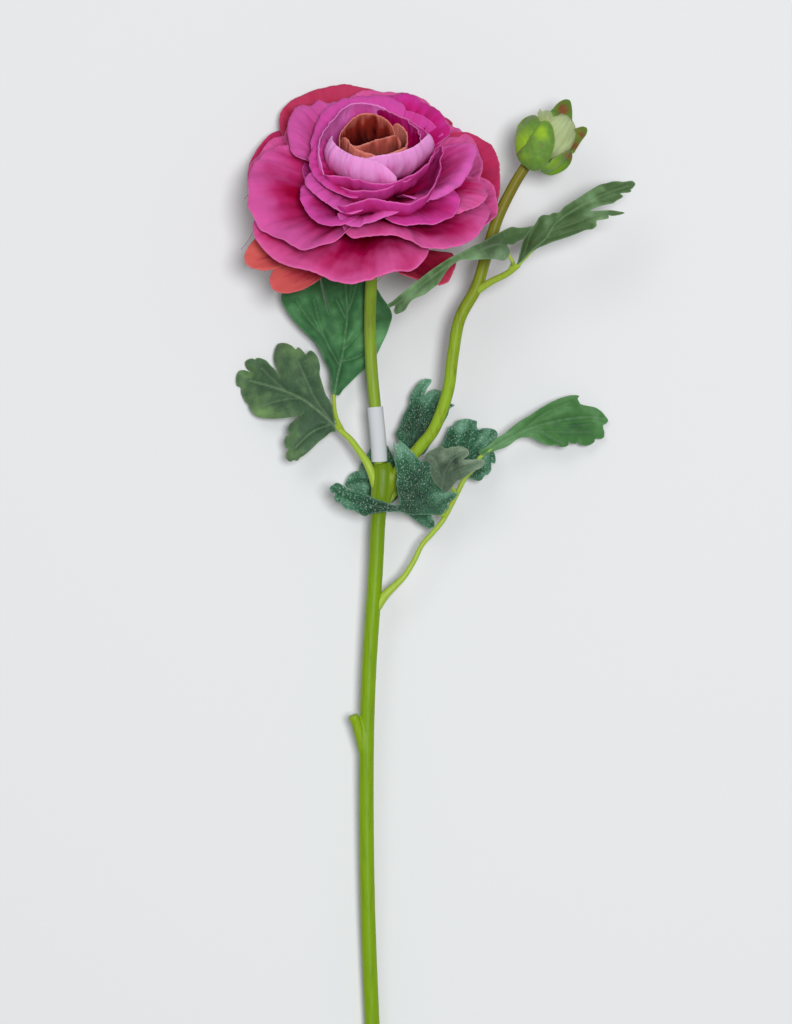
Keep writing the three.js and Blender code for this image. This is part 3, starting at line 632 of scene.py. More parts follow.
LIP = {
    "name": "middle lip",
    "root": (3, -8),
    "waist": 0.5,
    "fold": 1.2,
    "ruffle": 1.0,
    "petals": [
        petal(
            ROLLED, 0.4, 0.35,
            (193, 22, 4), (205, 29, 8), (218, 33.7, 10), (229, 37, 10), (240, 39.4, 10), (250, 40, 11),
            (260, 38, 11.5),
        ),
        petal(
            DISH, 0.6, 0.2,
            (276, 34, 11), (288, 38, 10.5), (300, 40.5, 10), (312, 41, 9.5), (324, 39, 9.5),
            (334, 35, 10),
        ),
        petal(
            ROLLED, 0.5, 0.7,
            (247, 36, 12), (259, 39.5, 12.5), (267, 38.2, 13), (277, 35.5, 13.5), (290, 34.2, 14),
            (303, 34, 14), (313, 32, 13),
        ),
        petal(
            ROLLED, 1.4, 0.8,
            (296, 27, 13), (307, 31.2, 13), (318, 33.5, 13), (330, 35, 13), (343, 36, 13), (355, 37, 13),
            (366, 38.4, 13), (373, 36.8, 12.5), (379, 32, 10.5), (384, 26, 7),
        ),
        petal(
            DISH, 0.6, -0.1,
            (20, 29, 12), (29, 33, 12), (39, 35, 12), (49, 36.8, 12), (59, 38.2, 12), (69, 38.6, 12),
            (81, 37.4, 12), (95, 34, 11),
        ),
        petal(OPEN, 0, 0.3, *arc(118, 34, 35, 8)),
        petal(OPEN, 0, 0.3, *arc(170, 30, 26, 4)),
    ],
}
CUP = {
    "name": "middle cup",
    "root": (3, -4),
    "waist": 0.5,
    "fold": 0.9,
    "ruffle": 0.8,
    "petals": [
        petal(
            DISH, 0.7, 0.6,
            (206, 29, 14.5), (219, 31.4, 15), (231, 32, 15), (241, 33.2, 14.8), (250, 34.6, 14.4),
            (258, 34.6, 14), (268, 32, 14),
        ),
        petal(
            UPRIGHT, 0.5, 0.15,
            (246, 32.5, 18), (253, 34.6, 18.5), (262, 32.5, 19.3), (270, 31.4, 19.5), (279, 33.5, 19.3),
            (289, 35.8, 18.8), (300, 34.5, 18.5), (313, 31.2, 18.5), (327, 27.8, 18.5), (343, 25, 18.5),
            (358, 25.2, 18.5), (369, 25, 17.5),
        ),
        petal(
            DISH, 0.6, 0.4,
            (66, 33.5, 12), (78, 35.2, 12.6), (90, 35.8, 13), (103, 35.3, 13.5), (115, 33.4, 14),
            (126, 31.3, 14), (140, 28, 14), (154, 25.2, 14), (170, 23.8, 14), (188, 23, 14),
        ),
        petal(OPEN, 0, 0.25, *arc(50, 32, 30, 11)),
    ],
}
FOLDED = {
    "name": "middle folded",
    "root": (3, 1),
    "waist": 0.55,
    "fold": 0.6,
    "ruffle": 0.6,
    "petals": [
        petal(
            ROLLED, 0.5, 0.3,
            (166, 20, 17), (181, 22.4, 17), (195, 24.6, 17), (208, 26.1, 17), (220, 27.5, 17.5),
            (233, 29.1, 18), (246, 30, 18), (259, 31.5, 17.5),
        ),
        petal(
            UPRIGHT, 0.4, 0.2,
            (239, 25, 18.5), (251, 28, 19.5), (263, 27.8, 19.5), (277, 27.5, 20), (291, 24.8, 20),
            (305, 24.4, 19.5), (318, 23, 19),
        ),
        petal(
            UPRIGHT, 0.3, 0.2,
            (221, 24.5, 19.5), (232, 25.4, 21), (245, 23.6, 21), (257, 23.3, 21), (268, 25.2, 21.5),
            (280, 26.2, 21.5), (300, 24.8, 21), (322, 23.6, 21), (338, 23, 21), (354, 22, 20),
        ),
        petal(UPRIGHT, 0, 0.2, *arc(60, 50, 24, 13)),
        petal(UPRIGHT, 0, 0.2, *arc(140, 46, 23, 13)),
    ],
}
PALE = {
    "name": "inner",
    "root": (3, 4),
    "waist": 0.6,
    "fold": 0.5,
    "ruffle": 0.4,
    "petals": [
        petal(
            HIGH, 0.3, 0.1,
            (62, 15.5, 22), (83, 17.7, 22), (99, 19.3, 22), (112, 20.3, 22), (125, 19.6, 22),
            (145, 17.6, 22), (166, 17.8, 22), (186, 19.4, 22), (204, 21.3, 21.5), (220, 22.5, 20),
        ),
        petal(
            HIGH, 0.2, -0.45,
            (335, 16, 21.5), (352, 17, 22), (370, 16.3, 22), (388, 15.8, 22), (402, 15.2, 22),
            (417, 14.8, 22), (433, 15.9, 22), (447, 18, 22),
        ),
        petal(
            ROUND, 0, 0.9,
            (178, 13, 24), (191, 15.4, 24), (206, 15.4, 24), (223, 15, 24), (240, 15.1, 24),
            (258, 15, 24), (276, 15.8, 23.6), (293, 18.4, 22.5),
        ),
        petal(
            PLUMP, 0, 0.95,
            (248, 13, 23.5), (273, 13.3, 24), (292, 13.5, 24), (312, 14.8, 24), (326, 16.3, 24),
            (341, 17.8, 24), (358, 20, 24), (366, 18, 22),
        ),
    ],
}
ORANGE = {
    "name": "centre",
    "root": (2, 4),
    "waist": 0.7,
    "fold": 0.3,
    "ruffle": 0.25,
    "petals": [
        petal(
            HIGH, 0, 0.0,
            (30, 8.6, 23), (55, 8.8, 24), (78, 9.8, 24), (97, 11.2, 24), (115, 11.5, 24),
            (136, 10.7, 24), (165, 11, 24), (188, 12.4, 24), (204, 13, 23),
        ),
        petal(
            HIGH, 0.8, 0.8,
            (286, 10.5, 23.5), (306, 12.8, 24), (324, 13.6, 24), (343, 12.2, 24), (368, 10.7, 24),
            (387, 9.6, 24), (408, 9, 23.5),
        ),
        petal(
            HIGH, 0, 0.3,
            (198, 9.8, 23), (230, 9.6, 23.6), (250, 6.6, 24.2), (285, 4.8, 24.5), (322, 5.6, 24.5),
            (346, 8, 24.3), (352, 9.6, 23.6),
        ),
        petal(
            HIGH, 0, 0.45,
            (180, 12, 23.5), (200, 10.6, 24), (220, 10.6, 24), (238, 11, 23.6), (261, 11.4, 23.5),
            (284, 11.4, 23),
        ),
        petal(HIGH, 0, 0.0, *arc(120, 70, 5.4, 13)),
        petal(HIGH, 0, 0.0, *arc(300, 80, 4.4, 11)),
    ],
}

guard_satin = petal_satin("guard petal satin", "#80042c", "#a40e42", "#b02a5c", "#cc605a", "#d06c84")
outer_satin = petal_satin("outer petal satin", "#8e0028", "#ac024c", "#d25696", "#c452a0", "#d47ca8", 0.08)
middle_satin = petal_satin("middle petal satin", "#8e0034", "#b0005c", "#c63090", "#d664b6", "#da8abc")
inner_satin = petal_satin("inner petal satin", "#a00050", "#c63290", "#da6cbe", "#e296d2", "#e4a6d4")
# the centre's near-black root, held over more of each petal, is painted shade in the bloom's hollow
centre_satin = petal_satin(
    "centre petal satin", "#2c0203", "#86281f", "#c86c60", "#d07c70", "#d89080", 0.05, (0.55, 0.85, 0.99)
)

petal_piece("guard_petals", [GUARD], guard_satin, 64, 36)
petal_piece("outer_petals", [LOW, WIDE], outer_satin, 80, 36)
petal_piece("middle_petals", [LIP, CUP, FOLDED], middle_satin, 72, 34)
petal_piece("inner_petals", [PALE], inner_satin, 80, 36)
petal_piece("centre_petals", [ORANGE], centre_satin, 60, 32)


# Plates of cloth cut to an outline


def unseen(x, y, z):
    """Where a point at height z lies, when the camera shows it at x, y on the picture's scale."""
    nearer = (VIEW_HEIGHT - PICTURE_HEIGHT) / (VIEW_HEIGHT - z)
    middle_x, middle_y = VIEW_MIDDLE
    return middle_x + (x - middle_x) / nearer, middle_y + (y - middle_y) / nearer, z


def smooth_outline(points, steps=5):
    """A closed curve through points, with its slopes held short so that notches stay sharp."""
    count = len(points)
    line = []
    for k in range(count):
        before, start, end, after = (Vector(points[(k + n) % count]) for n in (-1, 0, 1, 2))
        reach = (end - start).length
        leaving, arriving = (end - before) / 2, (after - start) / 2
        leaving *= min(1, 0.9 * reach / max(leaving.length, 0.01))
        arriving *= min(1, 0.9 * reach / max(arriving.length, 0.01))
        line += [cubic(start, leaving, arriving, end, n / steps) for n in range(steps)]
    return line


def cut_plate(line, cell, thickness):
    """A flat plate of small squares, in mm, cut to a closed line: its top faces keep slot 0 and its
    under faces get slot 1."""
    low = Vector((min(p.x for p in line), min(p.y for p in line))) - Vector((1, 1))
    high = Vector((max(p.x for p in line), max(p.y for p in line))) + Vector((1, 1))
    size = high - low
    bpy.ops.mesh.primitive_grid_add(
        x_subdivisions=math.ceil(size.x / cell), y_subdivisions=math.ceil(size.y / cell), size=1
    )
    plate = bpy.context.object
    for vertex in plate.data.vertices:
        vertex.co = (low.x + size.x * (vertex.co.x + 0.5), low.y + size.y * (vertex.co.y + 0.5), 0)
    apply_modifier(plate, "SOLIDIFY", thickness=thickness, offset=0)
    bpy.ops.mesh.primitive_circle_add(vertices=len(line), fill_type="NGON")
    cutter = bpy.context.object
    for vertex, point in zip(cutter.data.vertices, line):
        vertex.co = (point.x, point.y, 0)
    apply_modifier(cutter, "SOLIDIFY", thickness=4, offset=0)
    with_faces_out(cutter)
    apply_modifier(plate, "BOOLEAN", operation="INTERSECT", solver="EXACT", object=cutter)
    select_only(cutter)
    bpy.ops.object.delete()
    for face in plate.data.polygons:
        face.material_index = 1 if face.normal.z < -0.5 else 0
    return plate


def tree_of(lines, step=0.25):
    """Points close together along lines, for reading how near one of them is."""
    points = []
    for number, line in enumerate(lines):
        for a, b in zip(line, line[1:]):
            count = max(1, round((b - a).length / step))
            points += [(*a.lerp(b, k / count).to_2d(), number) for k in range(count + 1)]
    tree = kdtree.KDTree(len(points))
    for k, (x, y, number) in enumerate(points):
        tree.insert((x, y, 0), k)
    tree.balance()
    return tree, [point[2] for point in points]


def painted_and_dyed_spots_at(dye_spots_and_painted_light, x, y):
    """How much lighter or darker the colour is at a place, from spots of x, y, radius and strength: partly
    dye and partly painted light and shade.
    """
    total = 0
    for wash_x, wash_y, radius, strength in dye_spots_and_painted_light:
        total += strength * math.exp(-(((x - wash_x) ** 2 + (y - wash_y) ** 2) / radius**2))
    return total


# Leaflets: as the camera shows them, each from its base, with its veins (its midrib first), its
# heights at even steps along the midrib and its slopes on the left and the right of it

# Each leaflet's spots of lighter and darker colour are partly dye and partly painted light and shade.
LEAFLETS = {
    "leaflet_left_low": {
        "base": (-13.8, 223.6),
        "outline": [
            (-1.2, 3.8), (-1.8, 7.6), (-2.8, 10.2), (-4.2, 12.4), (-5.2, 15.4), (-6, 18), (-6.6, 20.2),
            (-6.4, 22.8), (-7, 25.6), (-8.2, 27.8), (-9.8, 29), (-10.8, 28.6), (-11.8, 27.6),
            (-13.2, 29.2), (-14.6, 30.2), (-15.6, 29.4), (-16.8, 30.6), (-18.8, 31.6), (-21, 31.8),
            (-22.4, 31.2), (-23.4, 29.2), (-23.8, 26.2), (-23.2, 23.6), (-22.4, 21.8), (-21.6, 19.6),
            (-22.8, 21.4), (-24.8, 23.2), (-26.6, 25.2), (-28.4, 26), (-30, 26.2), (-30.8, 25.6),
            (-31.8, 26), (-33.4, 25.6), (-34.4, 24.8), (-34.4, 23.2), (-33.6, 21.8), (-31.6, 20.2),
            (-33, 21), (-34.8, 21.6), (-36.6, 21.4), (-37.6, 20.2), (-38, 18), (-37.6, 15.8),
            (-36.2, 15), (-36, 12.8), (-34.4, 9.8), (-33.2, 8.6), (-32.6, 6.8), (-30.4, 4.4),
            (-27.4, 3.6), (-24, 3.4), (-20.2, 3.6), (-16.8, 4), (-14.6, 4.6), (-12.6, 5.6), (-15, 3.8),
            (-16.4, 2.6), (-17.8, 1.2), (-18.6, -0.8), (-17.8, -2.2), (-19.4, -3.4), (-19.8, -5.2),
            (-19.4, -7.2), (-18.4, -8), (-19.2, -9.8), (-19, -11.6), (-17.6, -12.8), (-16.4, -12.2),
            (-15, -12.4), (-13.8, -11.2), (-12.4, -10.4), (-9.8, -8.2), (-7.2, -5.6), (-4.4, -3.4),
            (-2.2, -1.6), (-0.6, -1.2),
        ],
        "veins": [
            [(0, 0), (-7.2, 6.4), (-13.8, 11.2), (-23.2, 15), (-32.6, 17.6)],
            [(-2.2, 2.6), (-7.8, 10.2), (-10.8, 16.4), (-14.6, 24.8)],
            [(-2.6, 1.2), (-9.4, -1.6), (-15.8, -7.6)],
            [(-13.8, 11.2), (-21.4, 10.2), (-28.2, 8.2)],
            [(-18.4, 13.2), (-24.4, 18.4), (-28.2, 22.4)],
        ],
        "heights": [18.6, 16, 12.5, 8, 2],
        "slopes": (0.1, 0.12),
        "dye_spots_and_painted_light": [
            (-29, 5, 7, 0.8), (-34, 20, 5, 0.5), (-16, 28, 7, 0.4), (-17, -8, 6, 0.4),
            (-4, 2, 6, -0.4),
        ],
        "cloth": "left",
    },
    "leaflet_left_high": {
        "base": (-15, 234.8),
        "outline": [
            (-1, 2.6), (-1.2, 6.8), (-1.6, 10.2), (-3.4, 13.8), (-5.2, 18), (-6.8, 20.6), (-9, 22.8),
            (-12, 25.6), (-14.6, 28.4), (-16.8, 31.2), (-18.8, 34.4), (-19.8, 36.8), (-19.6, 39),
            (-16.4, 42.8), (-12.8, 45.8), (-9, 47.2), (-6.2, 47.2), (-5, 42.8), (-3.8, 37.8),
            (-2.8, 34.4), (-1.8, 31.4), (-2.2, 34.4), (-3, 37.6), (-4.2, 42), (-4.8, 47.2), (-0.4, 48),
            (4.4, 47.6), (9.8, 46.2), (16.2, 40.8), (18, 37.8), (20.2, 34.8), (21.4, 32.6),
            (21.8, 30.4), (21, 27.4), (19.8, 24), (18, 20.2), (16.2, 16.4), (14.2, 13.6), (12, 11.2),
            (9, 8.6), (6, 5.6), (3.4, 3), (1.6, 0.8),
        ],
        "veins": [
            [(0, 0.4), (1.6, 9), (3.2, 15.8), (4.2, 23.6), (5, 31.8), (4.2, 44.2)],
            [(5.2, 32.2), (7.2, 37.8), (9, 44.2)],
            [(1.6, 12.8), (-2.2, 19.8), (-5.2, 27.4), (-7.6, 36.8)],
            [(3.4, 17.6), (7.2, 21.8), (10.8, 25.6), (16.4, 30)],
            [(4.2, 30), (0.8, 36.8)],
            [(-3, 21.8), (-9.8, 30), (-14.2, 36.8)],
            [(2.6, 13.6), (8.2, 15), (12.8, 18)],
        ],
        "heights": [12.6, 12, 11, 9.5, 8],
        "slopes": (0.15, 0),
        "dye_spots_and_painted_light": [
            (-4, 8, 6, -0.5), (14, 22, 7, 0.9), (-13, 33, 4, 0.4), (-5, 27, 2.5, 0.6),
            (-9, 20, 5, -0.3), (4, 22, 3, 0.6), (-1, 16, 2.5, -0.5),
        ],
        "cloth": "dark",
    },
    "leaflet_bud_right": {
        "base": (54.4, 284.2),
        "outline": [
            (-0.6, 0.6), (-0.2, 3), (0.6, 6.4), (1.6, 9.8), (3.4, 12.8), (5.2, 14.8), (6.4, 16.4),
            (7.6, 18.4), (9, 19.2), (11.2, 19.2), (12.8, 20), (15, 20.2), (16.8, 22.2), (19.2, 23.8),
            (22.2, 25.6), (25.2, 27.6), (27.8, 29.2), (30.4, 30.6), (33, 31.2), (35.2, 31.8),
            (37.8, 31.8), (38.6, 31.6), (40.4, 31.8), (42.4, 32), (43.6, 30.8), (42.6, 29.2),
            (41.8, 28.6), (42.2, 28.2), (41.2, 27.6), (39, 27.4), (38, 27.2), (39, 26.2), (38.2, 25.4),
            (36.4, 24.4), (35.4, 23.6), (32.6, 23), (29.6, 22.2), (26.8, 20.8), (30.4, 20.8),
            (34.2, 21), (37.2, 20.6), (39.6, 20), (37.6, 19.2), (34.8, 18.8), (33.6, 19), (33.6, 18),
            (31.6, 17.4), (29.2, 17), (29, 15), (27.4, 13.8), (25.2, 13.6), (22.8, 12.6), (19.8, 11.4),
            (16.2, 10.2), (12.4, 9), (10.2, 8), (7.2, 6.8), (4.2, 4.8), (1.6, 2.2),
        ],
        "veins": [
            [(0.4, 1.2), (5.2, 6), (9.8, 10.2), (14.6, 16.8), (22.8, 22.4), (32.2, 27), (40.8, 30)],
            [(0.8, 1.8), (2.6, 6.8), (4.4, 12), (7.2, 16.4)],
            [(11.6, 12.8), (21, 16.2), (30.4, 19.4), (37.8, 20)],
            [(9.8, 10.4), (17.2, 12.4), (26.6, 15)],
            [(17.2, 18.8), (26.6, 23.6), (35.6, 25.6)],
        ],
        "heights": [43.5, 43, 42, 39, 35],
        "slopes": (-0.1, 0.5),
        "dye_spots_and_painted_light": [(3, 4, 9, -0.8), (28, 24, 7, 0.5), (12, 17, 5, 0.4), (30, 18, 5, 0.4)],
        "cloth": "bud",
    },
    "leaflet_bud_left": {
        "base": (52.2, 285.8),
        "outline": [
            (-1.2, 3.8), (-2.2, 6.4), (0, 6.4), (1.8, 7.6), (3.8, 8.6), (5.6, 10.8), (7.6, 13.4),
            (4.8, 13), (1.8, 12.8), (-0.4, 13.2), (-2.6, 12.4), (-4.8, 11.2), (-7.6, 9.8),
            (-10.2, 8.2), (-13.2, 6.8), (-16.2, 5.4), (-19.6, 3.6), (-23.6, 1.6), (-27.4, -0.8),
            (-31.2, -3.4), (-34.8, -6.2), (-38.6, -9.2), (-42.4, -12.2), (-45.4, -14.8), (-47.2, -16),
            (-46.4, -17.2), (-44.4, -16.4), (-44.8, -18.4), (-44, -19.6), (-42, -19), (-40.4, -18),
            (-39, -15.6), (-37.6, -14.2), (-35.6, -13.2), (-33, -12.2), (-30.8, -10.4), (-28.4, -8.6),
            (-26.6, -6), (-25.2, -3.8), (-23.6, -1.8), (-21.4, -0.2), (-19.2, 0.8), (-16.2, 0.6),
            (-13.8, 0.8), (-10.4, 1), (-6.8, 1), (-3, 0.6),
        ],
        "veins": [
            [(-0.4, 0.4), (-4.4, 6.4), (-12.4, 4.4), (-23.6, -0.8), (-33, -7.8), (-44.2, -16.2)],
            [(-33, -7.8), (-37.8, -13.2), (-41.6, -17.6)],
        ],
        "heights": [46, 62, 73, 79, 79.6, 76, 71],
        "slopes": (0.5, 0.7),
        "dye_spots_and_painted_light": [
            (-14, 1, 5, 1), (-4, 2, 5, 1), (-36, -13, 7, 0.9), (-20, 0, 6, 0.4), (-9, 6, 8, -0.5),
        ],
        "cloth": "bud",
    },
    "leaflet_right_end": {
        "base": (39.8, 211.8),
        "outline": [
            (-0.4, 2.6), (3, 5.2), (6.4, 8), (9.4, 9.8), (12.4, 12.4), (15, 14.4), (18.8, 16.6),
            (22.4, 19), (26.2, 21.2), (29.2, 22.6), (31.6, 23.4), (34.2, 24), (36.4, 24), (37.2, 23.6),
            (36.6, 22.8), (37.2, 21.4), (37.8, 20.6), (40.4, 20), (43.2, 19.4), (45.4, 18),
            (46.8, 16.4), (48, 14.6), (47.4, 13.4), (46.2, 12.8), (46.2, 11.6), (46.6, 10.2),
            (46.4, 8.2), (45.2, 7.6), (43.2, 7.6), (42.8, 6.4), (41.2, 5.4), (39.8, 5), (37.8, 5.4),
            (36.6, 6.2), (35.6, 5.8), (34.4, 5.8), (33.2, 6.4), (33, 5.2), (31.8, 4.6), (30, 4.6),
            (28.6, 5.4), (26.6, 5), (24.8, 5.4), (22.4, 6.4), (20.2, 7.6), (18, 8.2), (15, 8),
            (13.2, 7), (11.2, 5.4), (9, 4.2), (6.8, 3.6), (4.2, 2.6), (1.8, 1.2),
        ],
        "veins": [
            [(0, 0.8), (7.6, 6), (18.8, 11.6), (30, 14.6), (41.2, 15.8), (46.8, 15)],
            [(15, 10.2), (24.4, 17.2), (33.8, 21.4)],
            [(18.8, 10.8), (30, 10.2), (41.2, 10.2)],
            [(24.4, 13.2), (32.2, 12.4), (43.6, 13.2)],
            [(20.6, 11.2), (27, 7.8), (31.2, 5.6)],
        ],
        "heights": [19.5, 17.5, 14, 8, 1.6],
        "slopes": (0.35, 0.1),
        "dye_spots_and_painted_light": [
            (8, 6, 8, 0.7), (20, 9, 6, 0.5), (32, 19, 6, 0.3), (36, 12, 5, -0.4), (43, 16, 4, 0.7),
        ],
        "cloth": "right",
    },
    "leaflet_right_front": {
        "base": (21.8, 191.6),
        "outline": [
            (3.4, -0.8), (4.4, 0), (5.2, 1.4), (6.4, 1.8), (5.8, 3.4), (7.2, 4.4), (8.6, 5.6),
            (9.4, 7.2), (8.2, 7.8), (6.8, 8), (5.6, 9.2), (3.8, 9.8), (1.8, 11.2), (0.8, 13.8),
            (0.2, 16.8), (-0.8, 18.4), (-2.2, 19.4), (-4.4, 19.6), (-5.8, 21), (-6.8, 22.4),
            (-8.2, 23.8), (-9.6, 25.2), (-10.8, 26.2), (-12, 27.2), (-13, 26.2), (-13.6, 24.8),
            (-14.4, 26.6), (-14.6, 24.8), (-14, 22.4), (-14.2, 20.2), (-13.6, 17.6), (-13.2, 14.2),
            (-13.4, 11.6), (-13, 8.6), (-12.4, 6), (-12.2, 3.4), (-15, 3.2), (-17.6, 4.2),
            (-21.4, 5.4), (-25.2, 7.2), (-28.2, 7.8), (-31.6, 9), (-33.4, 10.4), (-35.6, 11.4),
            (-37.6, 10.4), (-38.6, 9.4), (-37.8, 7.8), (-36.4, 7), (-36.8, 5.6), (-36, 4.2),
            (-34.2, 3.6), (-33.2, 2.2), (-31.6, 1.2), (-29.6, 1), (-27.8, 0), (-25.2, -1.2),
            (-22.8, -0.4), (-19.6, 0.2), (-15.8, 0.4), (-12, 0.4), (-9.8, -0.4), (-7.2, -0.8),
            (-4.2, -0.6),
        ],
        "veins": [
            [(0, 0), (-5.2, 4.8), (-8.2, 12.4), (-10.4, 21.8)],
            [(0, 0), (-12, 1.6), (-23.2, 3.4), (-36.4, 8.6)],
            [(0, 0), (3.8, 3), (7.8, 6.8)],
            [(-6.8, 8.6), (-10.8, 7.2)],
            [(-4.4, 3.8), (0, 9.4), (3, 8.6)],
            [(-7.6, 10.2), (-3.8, 15.4), (-1.6, 18.4)],
        ],
        "heights": [23.5, 26, 28, 28, 26],
        "slopes": (0, 0.05),
        "dye_spots_and_painted_light": [
            (-11, 24, 5, 0.6), (-34, 8, 5, 0.2), (-17, 1, 8, -0.9), (5, 6, 5, 0.6),
            (-7, 8, 8, -0.5),
        ],
        "cloth": "speckled",
    },
    "leaflet_back_right": {
        "base": (29.2, 204.8),
        "outline": [
            (-2.2, 3), (-4.2, 6.8), (-4.8, 10.4), (-4.2, 12), (-3, 13.8), (-1.8, 16.8), (-0.8, 19.2),
            (0.2, 19.6), (0.8, 19.6), (1.8, 21.2), (3.8, 22), (6, 22.2), (8.2, 21.6), (9.4, 21.2),
            (9.4, 19.2), (10, 18), (11.6, 18.6), (14.2, 18.6), (16.2, 18), (17.2, 16.6), (16.8, 15),
            (15.4, 13.6), (15, 11.6), (15.8, 9.8), (16.4, 7.6), (16.2, 5.4), (14.8, 5.6), (14.8, 3),
            (13.6, 1.2), (12.4, 1), (11.2, -0.8), (9.8, -1.2), (8.2, -0.6), (6.4, -0.2), (3.4, 0),
        ],
        "veins": [
            [(0, 0.8), (4.4, 9.8), (6.8, 19.8)],
            [(1.8, 4.4), (9.8, 11.2), (15, 16.4)],
            [(0.8, 1.2), (7.6, 2.6), (13.6, 3.4)],
            [(3, 6.8), (0, 13.2), (0, 18)],
            [(4.2, 8.6), (9, 15), (10.4, 17.6)],
        ],
        "heights": [10.5, 11, 11, 9, 7],
        "slopes": (0.15, 0.05),
        "dye_spots_and_painted_light": [(4, 20, 4, 0.7), (13, 14, 5, 0.7), (13, 4, 4, 0.5), (4, 8, 5, -0.4)],
        "cloth": "speckled",
    },
    "leaflet_right_curled": {
        "base": (25.2, 198.8),
        "outline": [
            (-2.2, 3.8), (-3.8, 6.8), (-4.2, 9), (-3.6, 10.8), (-5.4, 12.2), (-6.4, 13.6),
            (-5.2, 15.4), (-3.4, 16.6), (-1.2, 17.6), (0.2, 17.8), (1.8, 17), (3.8, 17.6), (6.4, 17.8),
            (8.2, 17.6), (10.2, 16.4), (10.4, 15), (9.4, 13.8), (8.2, 13), (10.8, 12.8), (13.6, 13),
            (15.8, 12.8), (16.4, 11.6), (15, 9.8), (12.8, 8.8), (10.8, 7.6), (9.4, 6.6), (7.6, 5.4),
            (6, 4.8), (4.8, 3.4), (3.4, 1.6), (1.8, 0.4),
        ],
        "veins": [
            [(0, 0), (1.2, 7.6), (4.2, 12.8), (9, 15.8)],
            [(1.2, 4.4), (6.4, 9), (14.6, 11.6)],
            [(0.4, 5.2), (-1.8, 12), (-3.8, 14.6)],
        ],
        "heights": [28, 32, 35, 35],
        "slopes": (-0.3, -0.1),
        "dye_spots_and_painted_light": [
            (-2, 14, 4, 0.4), (8, 15.5, 3, 0.5), (13, 11, 4, 0.6), (5.5, 12.2, 1.7, -1.1),
            (1, 10.6, 1.8, -0.8),
        ],
        "cloth": "turned",
    },
    "leaflet_back_up": {
        "base": (14.6, 214.4),
        "outline": [
            (-3, 1.8), (-5.2, 4), (-6, 5.6), (-6.4, 7.2), (-5.2, 9.4), (-4.4, 11.6), (-3.4, 14.2),
            (-2.2, 16.4), (-1.2, 18.8), (-1.2, 20.6), (0, 23.2), (1.6, 25.6), (3, 27), (4.4, 27.6),
            (6.8, 27.4), (7, 26.6), (6.4, 25.4), (5.2, 23.6), (4.4, 21.6), (6, 22.8), (7.8, 23.6),
            (9.4, 23.4), (10.8, 22.8), (12.8, 21.6), (13.8, 19.8), (14.2, 18.4), (15.6, 17.6),
            (13.8, 16.4), (13.2, 14.2), (11.6, 11.2), (9.4, 7.2), (6.4, 2.6), (3, -1.2),
        ],
        "veins": [
            [(0, 0.8), (0.4, 7.6), (0.8, 15.8), (2.6, 22.4), (5.6, 26.6)],
            [(0, 4.4), (4.2, 13.8), (8.6, 21.4)],
            [(0.4, 8.2), (-2.6, 10.4)],
            [(0.8, 13.8), (-1.6, 18)],
        ],
        "heights": [10.5, 11.4, 11, 8],
        "slopes": (0.1, 0.1),
        "dye_spots_and_painted_light": [(5, 25, 4, 1), (10, 21, 4, 0.5), (1, 9, 6, -0.8)],
        "cloth": "speckled",
    },
    "leaflet_back_left": {
        "base": (8.2, 200.2),
        "outline": [
            (0.4, 4.4), (0, 9), (-1.2, 12.8), (-2.2, 15), (-3, 16.4), (-5.2, 18.4), (-8.2, 17.6),
            (-9.8, 15.4), (-11.2, 12.8), (-13.2, 9.8), (-13.8, 7.4), (-15.4, 7), (-17.2, 5.8),
            (-18.4, 3.8), (-19, 2.2), (-18, 0.8), (-15, -0.8), (-11.2, -2.8), (-7.8, -4.2),
            (-3.8, -5.2), (-0.8, -4.4), (0.8, -2.6),
        ],
        "veins": [
            [(0, 0), (-6, 2.2), (-12.8, 3.8), (-17.2, 3)],
            [(-2.2, 0.8), (-4.4, 9.4), (-6, 15.8)],
            [(-5.2, 1.6), (-9, -0.8), (-12, -1.6)],
        ],
        "heights": [8.8, 9.4, 9, 6],
        "slopes": (0.1, 0.1),
        "dye_spots_and_painted_light": [(-14, 3, 6, 0.5), (-8, 12, 5, 0.3), (-1, 0, 5, -0.9)],
        "cloth": "speckled",
    },
    "leaflet_back_low": {
        "base": (12.8, 197.2),
        "outline": [
            (-1.6, -2.2), (-0.8, -5.2), (1.6, -7.4), (4.2, -9.4), (6.4, -10.8), (8.2, -11.4),
            (9.8, -10.6), (9.8, -8.6), (8.2, -5.6), (5.2, -2.6), (1.8, -0.2),
        ],
        "veins": [
            [(0.4, -0.8), (4.8, -5.6), (9, -10.8)],
        ],
        "heights": [12.8, 13.6, 13],
        "slopes": (0.1, 0.1),
        "dye_spots_and_painted_light": [(0, -1, 5, -0.8), (7, -8, 4, 0.3)],
        "cloth": "speckled",
    },
}

